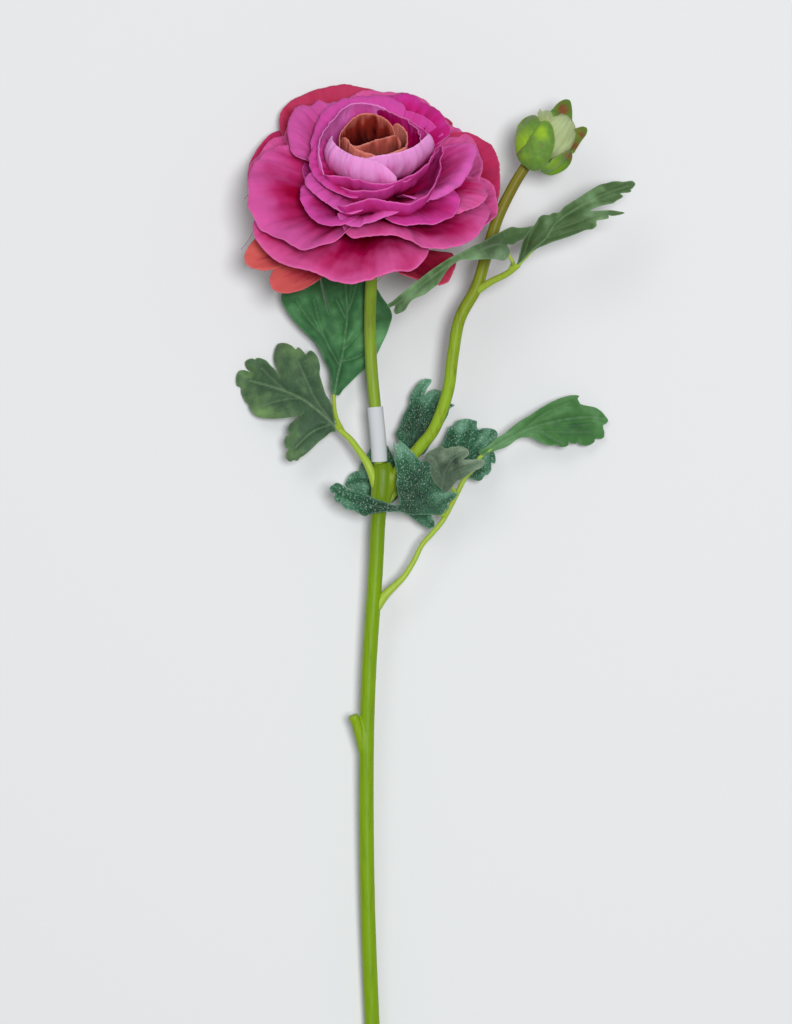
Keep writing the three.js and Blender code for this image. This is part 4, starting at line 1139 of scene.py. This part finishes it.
LEAF_CLOTHS = {
    "left": leaf_cloth("left leaf cloth", "#22402a", "#3a593b", "#6f9258", "#9cba8c", 0.12),
    "dark": leaf_cloth("dark leaf cloth", "#184a26", "#32693a", "#62a066", "#86b486"),
    "bud": leaf_cloth("bud leaf cloth", "#2a4418", "#415f34", "#7ea274", "#7c9e70"),
    "right": leaf_cloth("right leaf cloth", "#28562e", "#3f7238", "#6a9668", "#80a67e"),
    "speckled": leaf_cloth("speckled leaf cloth", "#0c3420", "#1a5436", "#74a88c", "#3f7458", 0.85),
    "turned": leaf_cloth("turned leaf cloth", "#26362a", "#50664f", "#8da086", "#76907a", 0.25),
}
UNDER_CLOTHS = {
    "left": leaf_cloth("left leaf under side", "#5d7a55", "#6f8a63", "#8ba479", "#8ca07c"),
    "dark": leaf_cloth("dark leaf under side", "#4c7350", "#5f8566", "#86a582", "#85a585"),
    "bud": leaf_cloth("bud leaf under side", "#5b7f57", "#769870", "#98b090", "#98b090"),
    "right": leaf_cloth("right leaf under side", "#5c8260", "#70927a", "#93ad8c", "#93ad8c"),
    "speckled": leaf_cloth("speckled leaf under side", "#4f6652", "#667a62", "#8c9a80", "#8c9a80"),
    "turned": leaf_cloth("turned leaf upper side", "#173f26", "#2a5e3a", "#6c957c", "#7fa68a", 0.7),
}

# The squares of a leaflet's plate, in mm: coarse ones where its outline has more points than this
FINE_CELL = 0.4
COARSE_CELL = 0.55
MANY_POINTS = 45

# A vein's line: half its width in mm at the leaflet's base and at its tip, and its strength
MIDRIB = (0.46, 0.36, 0.75)
SIDE_VEIN = (0.34, 0.34, 0.42)
PILLOW = 1.7  # how high, in mm, the cloth swells between the veins
EDGE_LINE = 0.3  # the width of the paler line at a leaf's cut edge
EDGE_BEND = 1.6  # how far in from its edge a blade curls

# How uneven a blade is: the depth and the length of its waves in mm
SAG = (1.3, 11)
CREASES = (0.4, 3.4)
CURL = (1.6, 6)

for number, leaflet in enumerate(LEAFLETS.values()):
    leaflet["seed"] = 3.7 * number
    tip = Vector(leaflet["veins"][0][-1])
    leaflet["length"] = tip.length
    leaflet["direction"] = tip.normalized()
    leaflet["rise"] = Route([(0, height, 0) for height in leaflet["heights"]])
    leaflet["rib"] = Route([(*point, 0) for point in leaflet["veins"][0]])


def leaflet_height(leaflet, x, y):
    """The blade's height at a place seen from above, before its folds and veins."""
    heading = leaflet["direction"]
    along = (x * heading.x + y * heading.y) / leaflet["length"]
    across = heading.x * y - heading.y * x
    inside = min(max(along, 0), 1)
    rib_at = leaflet["rib"].at(inside)
    left = across - (heading.x * rib_at.y - heading.y * rib_at.x)
    slope = leaflet["slopes"][0] if left > 0 else -leaflet["slopes"][1]
    soft = left * left / (abs(left) + 2)
    return leaflet["rise"].at(inside).y + slope * math.copysign(soft, left)


def leaflet_piece(name, leaflet):
    """A leaflet's plate, raised to its heights, with grooved veins, waves and a curled margin. Its UV
    map is polar, for the print that runs out from the base."""
    seed, heading, long = leaflet["seed"], leaflet["direction"], leaflet["length"]
    base_x, base_y = leaflet["base"]
    line = smooth_outline(leaflet["outline"])
    cell = COARSE_CELL if len(leaflet["outline"]) > MANY_POINTS else FINE_CELL
    plate = cut_plate(line, cell, LEAF_THICKNESS)
    veins = [Route([(*point, 0) for point in vein]).line for vein in leaflet["veins"]]
    vein_tree, vein_numbers = tree_of(veins)
    margin_tree, _ = tree_of([[*line, line[0]]])
    marks = {"vein": [], "rim": [], "dye_and_painted_shading": []}
    print_places = []
    for vertex in plate.data.vertices:
        x, y, layer = vertex.co
        _, nearest, gap = vein_tree.find((x, y, 0))
        _, _, margin = margin_tree.find((x, y, 0))
        reach = math.hypot(x, y)
        at_base, at_tip, depth = MIDRIB if vein_numbers[nearest] == 0 else SIDE_VEIN
        vein = depth * math.exp(-((gap / mix(at_base, at_tip, min(1, reach / long))) ** 2))
        pillow = PILLOW * (1 - math.exp(-gap / PILLOW)) * (1 - math.exp(-margin / 2))
        sag = waves(x, y, *SAG, seed)
        crease = waves(x, y, *CREASES, seed + 7)
        curl = waves(x, y, *CURL, seed + 3) * math.exp(-margin / EDGE_BEND)
        height = leaflet_height(leaflet, x, y) + pillow + sag + crease + curl - 0.45 * vein
        height = max(height, LEAF_THICKNESS / 2 + 0.02)
        vertex.co = place((*unseen(base_x + x, base_y + y, height)[:2], height + layer))
        turn = math.atan2(x * heading.y - y * heading.x, x * heading.x + y * heading.y)
        print_places.append((long / 4 * turn, reach))
        marks["vein"].append(vein)
        marks["rim"].append(math.exp(-((margin / EDGE_LINE) ** 2)))
        # the colour is darker beside the veins, where the cloth dips into their grooves, and follows the
        # creases, darker in their hollows and lighter on their ridges: painted shade and painted highlight
        dye_and_painted_shading = painted_and_dyed_spots_at(leaflet["dye_spots_and_painted_light"], x, y) + 0.8 * crease - 0.5 * math.exp(-gap / 1.1)
        marks["dye_and_painted_shading"].append(dye_and_painted_shading)
    marked(plate, marks)
    uv_map = plate.data.uv_layers.active or plate.data.uv_layers.new(name="UVMap")
    uv_map.name = "UVMap"
    for loop in plate.data.loops:
        uv_map.data[loop.index].uv = print_places[loop.vertex_index]
    cloth = joined("cloth_" + name, [plate])
    materials = [LEAF_CLOTHS[leaflet["cloth"]], UNDER_CLOTHS[leaflet["cloth"]]]
    return finished(cloth, materials, [name], 50)


for name, leaflet in LEAFLETS.items():
    leaflet_piece(name, leaflet)


# The bud: a ball of pale petals in sepals cut to the outlines that the camera shows, from the bud's foot

BUD_FOOT = (57.4, 321)
BUD_HEIGHT = 35.4
BUD_BALL = {"middle": (9.2, 11.2), "across": 7.5, "along": 10.4, "up": 7.8}
BUD_SHELL = {"middle": (6, 9.5), "across": 10.6, "along": 12.8, "up": 8.8}
BUD_AXIS = Vector((0.62, 0.785))
SEPAL_CELL = 0.3
SEPAL_THICKNESS = 0.3
SEPAL_CUP = 1.1  # how high a sepal stands over its own edge
SEPAL_GRAIN = (1, 1.4)  # the depth and the length of its grain's waves
BUD_FOLD = 0.05  # how deep the ball's folds are, and how high each petal lies on the next, as shares
BUD_STEP = 0.07

# The front sepal's brown edge: a row of small washes
EDGE_STEPS = [k / 16 for k in range(17)]
BROWN_EDGE = [(mix(-4.2, 4.6, t), mix(5.2, 17.4, t), 0.8, mix(-0.7, -0.35, t)) for t in EDGE_STEPS]

# Each sepal's spots of lighter and darker colour are partly dye and partly painted light and shade, such
# as the painted highlight on the front sepal's upper part.
SEPALS = {
    "left": {
        "outline": [
            (-1.2, 0.8), (-3.4, 3.4), (-4.4, 6.8), (-4.6, 10.8), (-3.6, 15.6), (-2.2, 17.6), (-0.6, 19),
            (1.6, 19.8), (3, 19.8), (4.2, 18.8), (4.8, 16.4), (3.8, 11.2), (2.2, 6), (1.2, 1.2),
        ],
        "over": 0.5,
        "dye_spots_and_painted_light": [(-2.5, 9, 6, 1), (0.5, 18, 2.5, -0.3)],
    },
    "front": {
        "outline": [
            (-4, 5), (-1.8, 7.8), (1.2, 12.2), (3.4, 15.4), (4.8, 17.2), (6.8, 17.8), (8.4, 17.2),
            (9.4, 15.8), (10, 13.8), (10.4, 10.8), (10.2, 8.2), (9, 4.2), (7.6, 1.6), (6, -0.2),
            (2.8, -1.2), (0.4, -0.4), (-2.2, 2.2),
        ],
        "over": 1.2,
        "dye_spots_and_painted_light": [(5.4, 13.4, 2.6, 1.2), (-1, 4, 2, 0.4), *BROWN_EDGE],
    },
    "top": {
        "outline": [
            (8.4, 20.6), (9.8, 22.4), (11.6, 24.4), (13.2, 25.4), (14.6, 25.8), (16, 25.4), (16.6, 24),
            (17, 20.4), (16.6, 16.8), (14.6, 17.2), (11.6, 18.4), (9.4, 19.2),
        ],
        "over": -1,
        "dye_spots_and_painted_light": [(13.4, 21.6, 2.4, -1.1), (16.4, 19, 1.6, 0.2), (10, 21.6, 1.6, 0.3)],
    },
    "reflexed": {
        "outline": [
            (16.4, 13.6), (17.6, 14.6), (19.2, 15.2), (21, 15.6), (22.4, 15), (22.6, 13.8), (22, 12.2),
            (20.6, 10.4), (18.8, 7.6), (17.2, 5.4), (15.8, 7.6), (15.6, 10.8),
        ],
        "over": -1.6,
        "dye_spots_and_painted_light": [(20, 14.6, 2, -0.3), (18, 8.4, 1.8, -1), (20.6, 12.2, 1.4, -0.8)],
    },
    "right": {
        "outline": [
            (7.6, 1.2), (9.6, 3.4), (13.2, 5.2), (16.4, 6.8), (17, 4.4), (16.4, 2), (14.8, -0.2),
            (13, -1.4), (10.8, -2.4), (8.6, -2.8), (5.6, -1.8), (5.2, -0.4),
        ],
        "over": 0.4,
        "dye_spots_and_painted_light": [(11, 0.5, 3, 0.6), (15.6, 4.6, 1.8, -0.8)],
    },
}
BUD_CURL = [
    (4.4, 17.8), (4, 20.4), (4.8, 22.4), (5.8, 21.2), (7.4, 21.8), (9.6, 20.6), (10, 18.4), (7.2, 16.8),
]

sepal_cloth = leaf_cloth("sepal cloth", "#7c4c2a", "#5c8430", "#8ab020", "#a8b860")
bud_satin = petal_satin("bud petal satin", "#9aa870", "#aab888", "#b4c094", "#7c6460", "#c0c8a0", 0.16)


def swell(ball, x, y):
    """How high a ball rises over its middle at a place; outside the ball it turns down."""
    from_middle = Vector((x - ball["middle"][0], y - ball["middle"][1]))
    along = from_middle.dot(BUD_AXIS) / ball["along"]
    across = (from_middle.x * BUD_AXIS.y - from_middle.y * BUD_AXIS.x) / ball["across"]
    out = along * along + across * across
    return ball["up"] * (max(0, 1 - out) ** 0.5 - 0.35 * max(0, out - 1))


def sepal_plate(outline, over, dye_spots_and_painted_light, facing):
    """A sepal's plate on the bud's shell; facing is 1 on the camera's side and -1 under the bud."""
    line = smooth_outline(outline, 6)
    plate = cut_plate(line, SEPAL_CELL, SEPAL_THICKNESS)
    margin_tree, _ = tree_of([[*line, line[0]]])
    marks = {"vein": [], "rim": [], "dye_and_painted_shading": []}
    for vertex in plate.data.vertices:
        x, y, layer = vertex.co
        _, _, margin = margin_tree.find((x, y, 0))
        grain = waves(x, y, *SEPAL_GRAIN, 3 * over)
        cup = SEPAL_CUP * (1 - math.exp(-margin / EDGE_BEND)) + 0.25 * grain
        height = facing * (swell(BUD_SHELL, x, y) + over + cup)
        vertex.co = place(unseen(BUD_FOOT[0] + x, BUD_FOOT[1] + y, BUD_HEIGHT + height + layer))
        marks["vein"].append(0)
        marks["rim"].append(0.6 * math.exp(-((margin / EDGE_LINE) ** 2)))
        # the colour follows the grain's waves, lighter where the cloth rises and darker in its dips:
        # painted light and shade
        marks["dye_and_painted_shading"].append(painted_and_dyed_spots_at(dye_spots_and_painted_light, x, y) + 0.15 * grain)
    marked(plate, marks)
    return plate


def bud_ball():
    """The bud's closed petals: a ball with three shallow folds that wind round its axis."""
    bpy.ops.mesh.primitive_uv_sphere_add(segments=96, ring_count=64, radius=1)
    ball = bpy.context.object
    for vertex in ball.data.vertices:
        x, y, z = vertex.co
        winding = math.sin(3 * math.atan2(y, x) + 2.6 * z)
        fold = 1 + BUD_FOLD * winding + 0.02 * noise.noise(Vector((4 * x, 4 * y, z)))
        fold *= 1 + BUD_STEP * smooth(winding, 0.4, 0.6)
        across, up, along = x * BUD_BALL["across"] * fold, y * BUD_BALL["up"] * fold, z * BUD_BALL["along"]
        seen_x = BUD_FOOT[0] + BUD_BALL["middle"][0] + across * BUD_AXIS.y + along * BUD_AXIS.x
        seen_y = BUD_FOOT[1] + BUD_BALL["middle"][1] - across * BUD_AXIS.x + along * BUD_AXIS.y
        vertex.co = place(unseen(seen_x, seen_y, BUD_HEIGHT + up))
    return ball


finished(joined("satin_bud_petals", [bud_ball()]), [bud_satin], ["bud_petals"])
curl = joined("satin_bud_curl", [sepal_plate(BUD_CURL, -0.8, [], 1)])
finished(curl, [bud_satin], [], 50)
shells = [
    sepal_plate(sepal["outline"], sepal["over"], sepal["dye_spots_and_painted_light"], facing)
    for sepal in SEPALS.values()
    for facing in (1, -1)
]
bud_shells = joined("cloth_bud_sepals", shells)
with_faces_out(bud_shells)
finished(bud_shells, [sepal_cloth], ["bud_sepals"], 50)


# The bloom's calyx, a moulded cup behind the guard petals, and a dark piece in its middle whose near-black
# colour is painted shade in the bloom's hollow

calyx_green = stem_plastic("moulded calyx", "#5f8424", "#4a6a1c")
# a near-black piece at the bottom of the bloom's hollow: painted shade
centre_shade_satin = petal_satin("dark centre painted shade", "#240202", "#3a0806", "#5a120c", "#5a120c", "#6a1a10")


def turned_cup(name, profile, lobes, depth):
    """A cup turned round the bloom's axis from pairs of radius and height, with soft lobes."""
    bpy.ops.mesh.primitive_uv_sphere_add(segments=90, ring_count=48, radius=1)
    cup = bpy.context.object
    route = Route([(radius, height, 0) for radius, height in profile])
    for vertex in cup.data.vertices:
        turn = math.atan2(vertex.co.y, vertex.co.x)
        share = 1 - math.acos(min(max(vertex.co.z, -1), 1)) / math.pi
        radius, height, _ = route.exact(share)
        radius *= 1 + depth * math.sin(lobes * turn) * share
        vertex.co = place(BLOOM_PLACE @ Vector((radius * math.cos(turn), radius * math.sin(turn), height)))
    return joined(name, [cup])


CALYX_PROFILE = [(0, -30.2), (3.2, -30.2), (4.6, -28.2), (6.4, -25.6), (7.4, -23.8), (5, -22.6), (0, -22)]
CENTRE_SHADE_PROFILE = [(0, -2), (4, -1), (5, 4), (4.4, 9), (2.6, 11.4), (0, 12)]
finished(turned_cup("moulded_calyx", CALYX_PROFILE, 5, 0.06), [calyx_green], ["calyx"])
finished(turned_cup("centre_shade_piece", CENTRE_SHADE_PROFILE, 9, 0.12), [centre_shade_satin], [])


# Stems, through stations of x, y, z and radius

MAIN_STATIONS = [
    (4.6, STEM_END_Y, 2.9, STEM_RADIUS),
    (4, -92, 3.2, STEM_RADIUS),
    (1.6, -50, 5.6, STEM_RADIUS),
    (-0.8, 0, 8.3, STEM_RADIUS),
    (-2.5, 47, 10.8, STEM_RADIUS),
    (-2.9, 95, 13.3, STEM_RADIUS),
    (-2, 131, 15.2, STEM_RADIUS),
    (0.5, 169, 17.2, STEM_RADIUS),
    (1.6, 190, 18.2, STEM_RADIUS),
    (2.7, 198, 18.8, 4),
    (3.2, 204, 19, 4.3),
    (3.3, JOINT_Y - 1, 19.2, 4),
    (3, JOINT_Y + 1.4, 19.4, 3),
]
STUB_STATIONS = [
    (-2.8, 99, 13.6, 2.4),
    (-4.6, 106, 14.6, 2.3),
    (-6.4, 111.6, 16, 1.9),
    (-7.9, 115.6, 17, 1.9),
]
BUD_SOCKET_STATIONS = [(3, 197, 18.6, 2.8), (5.4, 202.6, 19, 3.2), (8, 206.4, 19.5, 3)]
BLOOM_STALK_STATIONS = [
    (2.4, 205, 19.1, STALK_RADIUS),
    (1.6, 219, 20, STALK_RADIUS),
    (0.3, 232.5, 20.8, STALK_RADIUS),
    (-1, 247.6, 20.8, STALK_RADIUS),
    (-1.5, 262.7, 19.2, STALK_RADIUS),
    (-1.2, 276, 17, STALK_RADIUS),
    (-0.6, 286, 15.6, STALK_RADIUS),
    (-0.1, 292.4, 16.4, STALK_RADIUS),
    (0, 296.2, 18.8, STALK_RADIUS),
]
BUD_STALK_STATIONS = [
    (7.2, 204.8, 19.3, STALK_RADIUS),
    (10.4, 208.8, 19.8, STALK_RADIUS),
    (17.4, 216.6, 21.2, STALK_RADIUS),
    (22.8, 223.7, 22.6, STALK_RADIUS),
    (27.6, 237, 24.8, STALK_RADIUS),
    (29.4, 250, 26.6, STALK_RADIUS),
    (32, 264, 28.2, STALK_RADIUS),
    (38.2, 275.6, 29.4, STALK_RADIUS),
    (41.4, 286, 30.4, STALK_RADIUS),
    (46, 301, 31.6, 2.1),
    (51.8, 313, 32.6, 2),
    (56.6, 320.8, 33.4, 2),
]
LEAF_STALKS = {
    "leaf_stalk_bud": (
        [
            (38.5, 274.4, 29.6, 1.5),
            (43.2, 277.4, 33, 1.4),
            (49.2, 280.2, 37.6, 1.25),
            (53.6, 283.2, 41.4, 1),
        ],
        {
            "leaflet_bud_right": [(53, 282.8, 40.9, 0.95)],
            "leaflet_bud_left": [(50, 280.6, 38.2, 1), (51.4, 283.4, 40.8, 0.9)],
        },
    ),
    "leaf_stalk_left": (
        [
            (1.6, 196, 18.6, 1.7),
            (0.2, 203.4, 20, 1.8),
            (-2.4, 210, 20.6, 1.6),
            (-5.4, 214.6, 20, 1.35),
            (-9, 219.4, 18.6, 1.2),
            (-13, 223, 17.5, 1),
        ],
        {
            "leaflet_left_low": [(-12.2, 222.4, 17.6, 0.95)],
            "leaflet_left_high": [(-11.4, 221.6, 17.8, 1), (-14.4, 228, 14.2, 0.9)],
        },
    ),
    "leaf_stalk_right": (
        [
            (1, 156, 16.6, 1.8),
            (4, 160.6, 16.8, 1.8),
            (7.9, 164.4, 17, 1.4),
            (11.6, 168.2, 17.1, 1.15),
            (15.2, 174, 17.2, 1.05),
            (18, 179.6, 17.4, 1),
            (22.1, 184.3, 17.6, 1),
            (26.2, 189.4, 17.8, 1),
            (30.7, 198, 18, 1),
            (34.1, 204.7, 18.2, 1),
            (37.1, 208, 18.3, 1),
            (39.6, 211, 18.3, 0.95),
        ],
        {
            "leaflet_right_end": [(38.6, 210, 18.3, 0.95)],
            "leaflet_right_front": [(27.2, 191, 17.8, 0.95), (24.6, 191.2, 20, 0.9)],
            "leaflet_right_curled": [(30.8, 198.4, 18, 0.95), (29.4, 200.6, 23, 0.9)],
        },
    ),
    "leaf_stalk_back": (
        [(2.2, 194, 17.2, 1.7), (7.4, 199, 12, 1.4), (12, 207, 10, 1.1), (14.6, 213.4, 9.4, 1)],
        {
            "leaflet_back_up": [(14.2, 212.6, 9.4, 0.95)],
            "leaflet_back_right": [(9.6, 202.8, 10.9, 1), (19, 201.6, 9.4, 0.9)],
            "leaflet_back_left": [(8, 200.2, 11.4, 1), (9.6, 200.6, 9.2, 0.9)],
            "leaflet_back_low": [(8, 200.2, 11.4, 1), (10, 199.4, 11.6, 0.9)],
        },
    ),
}
RIB_SHARES = {
    "leaflet_bud_left": (0, 0.12),
    "leaflet_right_front": (0.04, 0.2),
    "leaflet_right_curled": (0.3, 0.6),
}
USUAL_SHARES = (0, 0.4)  # the part of a leaflet's midrib that its stalk's rib runs under
RIB_TIP_RADIUS = 0.35
STEM_GRAIN = 0.5
LEAF_STALK_GRAIN = 0.28

stem_green = stem_plastic("moulded stem", "#749a00", "#5c7c08", "#a4bc30", "#62800c", (40, 78))
bloom_stalk_green = stem_plastic("moulded bloom stalk", "#7c9c24", "#6e7030", "#bccb80")
bud_stalk_green = stem_plastic(
    "moulded bud stalk", "#86a820", "#6e6a14", far="#726a16", turning=(125, 185)
)
leaf_stalk_green = stem_plastic("moulded leaf stalk", "#9cb83c", "#8fa63a")


def rib_under(name):
    """The stations of the stalk's rib under a leaflet's midrib, a clearance below the blade."""
    leaflet = LEAFLETS[name]
    base_x, base_y = leaflet["base"]
    below = LEAF_THICKNESS / 2 + RIB_CLEARANCE + RIB_RADIUS
    stations = []
    for k in range(4):
        at = leaflet["rib"].at(mix(*RIB_SHARES.get(name, USUAL_SHARES), k / 3))
        height = leaflet_height(leaflet, at.x, at.y) - below
        radius = mix(RIB_RADIUS, RIB_TIP_RADIUS, k / 3)
        stations.append((*unseen(base_x + at.x, base_y + at.y, height), radius))
    return stations


def stem_piece(name, material, tubes, stations, grain=None):
    """A stem from its tubes, moulded into one at a grain in mm if it has any branch, and marked with its
    sides along the stations of its main line, for its painted highlights."""
    body = moulded("moulded_" + name, tubes, grain) if grain else joined("moulded_" + name, tubes)
    mark_sides_for_highlights(body, stations)
    return finished(body, [material], [name])


main_tubes = [tube_of(stations) for stations in (MAIN_STATIONS, STUB_STATIONS, BUD_SOCKET_STATIONS)]
stem_piece("main_stem", stem_green, main_tubes, MAIN_STATIONS, STEM_GRAIN)
bloom_tube = tube_of(BLOOM_STALK_STATIONS)
stem_piece("bloom_stalk", bloom_stalk_green, [bloom_tube], BLOOM_STALK_STATIONS)
bud_tube = tube_of(BUD_STALK_STATIONS)
stem_piece("bud_stalk", bud_stalk_green, [bud_tube], BUD_STALK_STATIONS)
for name, (stalk, branches) in LEAF_STALKS.items():
    lines = [stalk, *[[*branch, *rib_under(leaflet_name)] for leaflet_name, branch in branches.items()]]
    tubes = [tube_of(line, 12, 0.8) for line in lines]
    stem_piece(name, leaf_stalk_green, tubes, stalk, LEAF_STALK_GRAIN)


# The paper band: a bare strip wrapped once round the bloom's stalk, its end lapping over its start

BAND_SHARES = (0.053, 0.24)  # where along the stalk it lies
BAND_RADIUS = STALK_RADIUS + 0.75
BAND_THICKNESS = 0.12
BAND_LAP = 20  # degrees past a full turn
BAND_START = 150  # degrees from the stalk's side to the strip's end
BAND_RISE = 0.14  # how far the strip moves out over half its length, so that its end clears its start
BAND_DENTS = 0.05
BAND_EDGE = 0.12  # how far its free end lifts

paper, _ = surface_of("matt label paper", 0.85, "#c3c7cb")


def on_band(x, t):
    route = Route([station[:3] for station in BLOOM_STALK_STATIONS])
    share = mix(*BAND_SHARES, t)
    middle, heading = route.exact(share), route.heading(share)
    side = heading.cross(Vector((0, 0, 1))).normalized()
    over = side.cross(heading)
    turn = math.radians(mix(-180 - BAND_LAP, 180, (x + 1) / 2) + BAND_START)
    radius = BAND_RADIUS + BAND_RISE * x + BAND_DENTS * noise.noise(Vector((3 * x, 4 * t, 1)))
    radius += BAND_EDGE * math.exp(-(((x - 0.97) / 0.04) ** 2))
    return place(middle + (side * math.cos(turn) + over * math.sin(turn)) * radius)


band = joined("wrapped_paper_band", [sheet_of(96, 30, on_band)])
apply_modifier(band, "SOLIDIFY", thickness=BAND_THICKNESS * MM, offset=0)
finished(band, [paper], ["paper_band"], 50)


# Threads pulled loose from the satin's edges: the layer and the petal that each hangs from, where on the
# petal's rim it starts, from -1 to 1, and how far from there its next points lie

THREAD_RADIUS = 0.08
THREADS = [
    (WIDE, 1, -0.125, [(-0.7, -0.3, 0.3), (-1.5, -1.5, 0.2)]),
    (LOW, 0, -0.66, [(-2.2, -3.8, 0.5), (-4.6, -6.6, -0.2)]),
    (LOW, 0, 0.49, [(-1.1, -1.1, 0.3), (-2.5, -2.6, 0)]),
]


def loose_thread(layer, number, share, steps):
    on_petal = petal_shape(layer, number)
    inside, start = [on_petal(share, t) / MM + BOX_MIDDLE for t in (0.985, 1)]
    points = [inside, start, *[start + Vector(step) for step in steps]]
    return tube_of([(*point, THREAD_RADIUS) for point in points], 8, 0.3)


thread_satin = petal_satin("loose satin thread", "#7a4460", "#8c5470", "#a0688a", "#a0688a", "#a0688a")
threads = [loose_thread(*thread) for thread in THREADS]
finished(joined("loose_threads", threads), [thread_satin], [])


# The surface, the lights and the camera, in the frame's metres

bpy.ops.mesh.primitive_plane_add(size=4, location=(0, 0, 0))
floor = bpy.context.object
floor.name = "pale_surface"
floor_paper, _ = surface_of("pale matt surface", 0.9, "#dcdee0")
floor.data.materials.append(floor_paper)

world = bpy.data.worlds.new("studio")
world.use_nodes = True
world.node_tree.nodes["Background"].inputs["Color"].default_value = linear("#f4f4f4")
world.node_tree.nodes["Background"].inputs["Strength"].default_value = 0.27
bpy.context.scene.world = world
bpy.context.scene.view_settings.view_transform = "Standard"


def soft_light(name, place_at, target, size, watts):
    bpy.ops.object.light_add(type="AREA", location=place_at)
    light = bpy.context.object
    light.name = name
    light.data.shape = "DISK"
    light.data.size = size
    light.data.energy = watts
    light.rotation_euler = (Vector(target) - Vector(place_at)).to_track_quat("-Z", "Y").to_euler()


soft_light("overhead", (0.26, 0.14, 2.4), (0.1, 0.1, 0), 0.55, 44)
soft_light("upper left", (-0.6, 1.0, 1.9), (0, 0.1, 0), 1.0, 7)

# The photograph's viewpoint, straight over the flat spray
bpy.ops.object.camera_add(location=in_frame(*VIEW_MIDDLE, VIEW_HEIGHT), rotation=(0, 0, 0))
camera = bpy.context.object
camera.data.sensor_fit = "VERTICAL"
camera.data.sensor_height = 24
camera.data.lens = 24 * (VIEW_HEIGHT - PICTURE_HEIGHT) / PICTURE_SPAN
bpy.context.scene.camera = camera
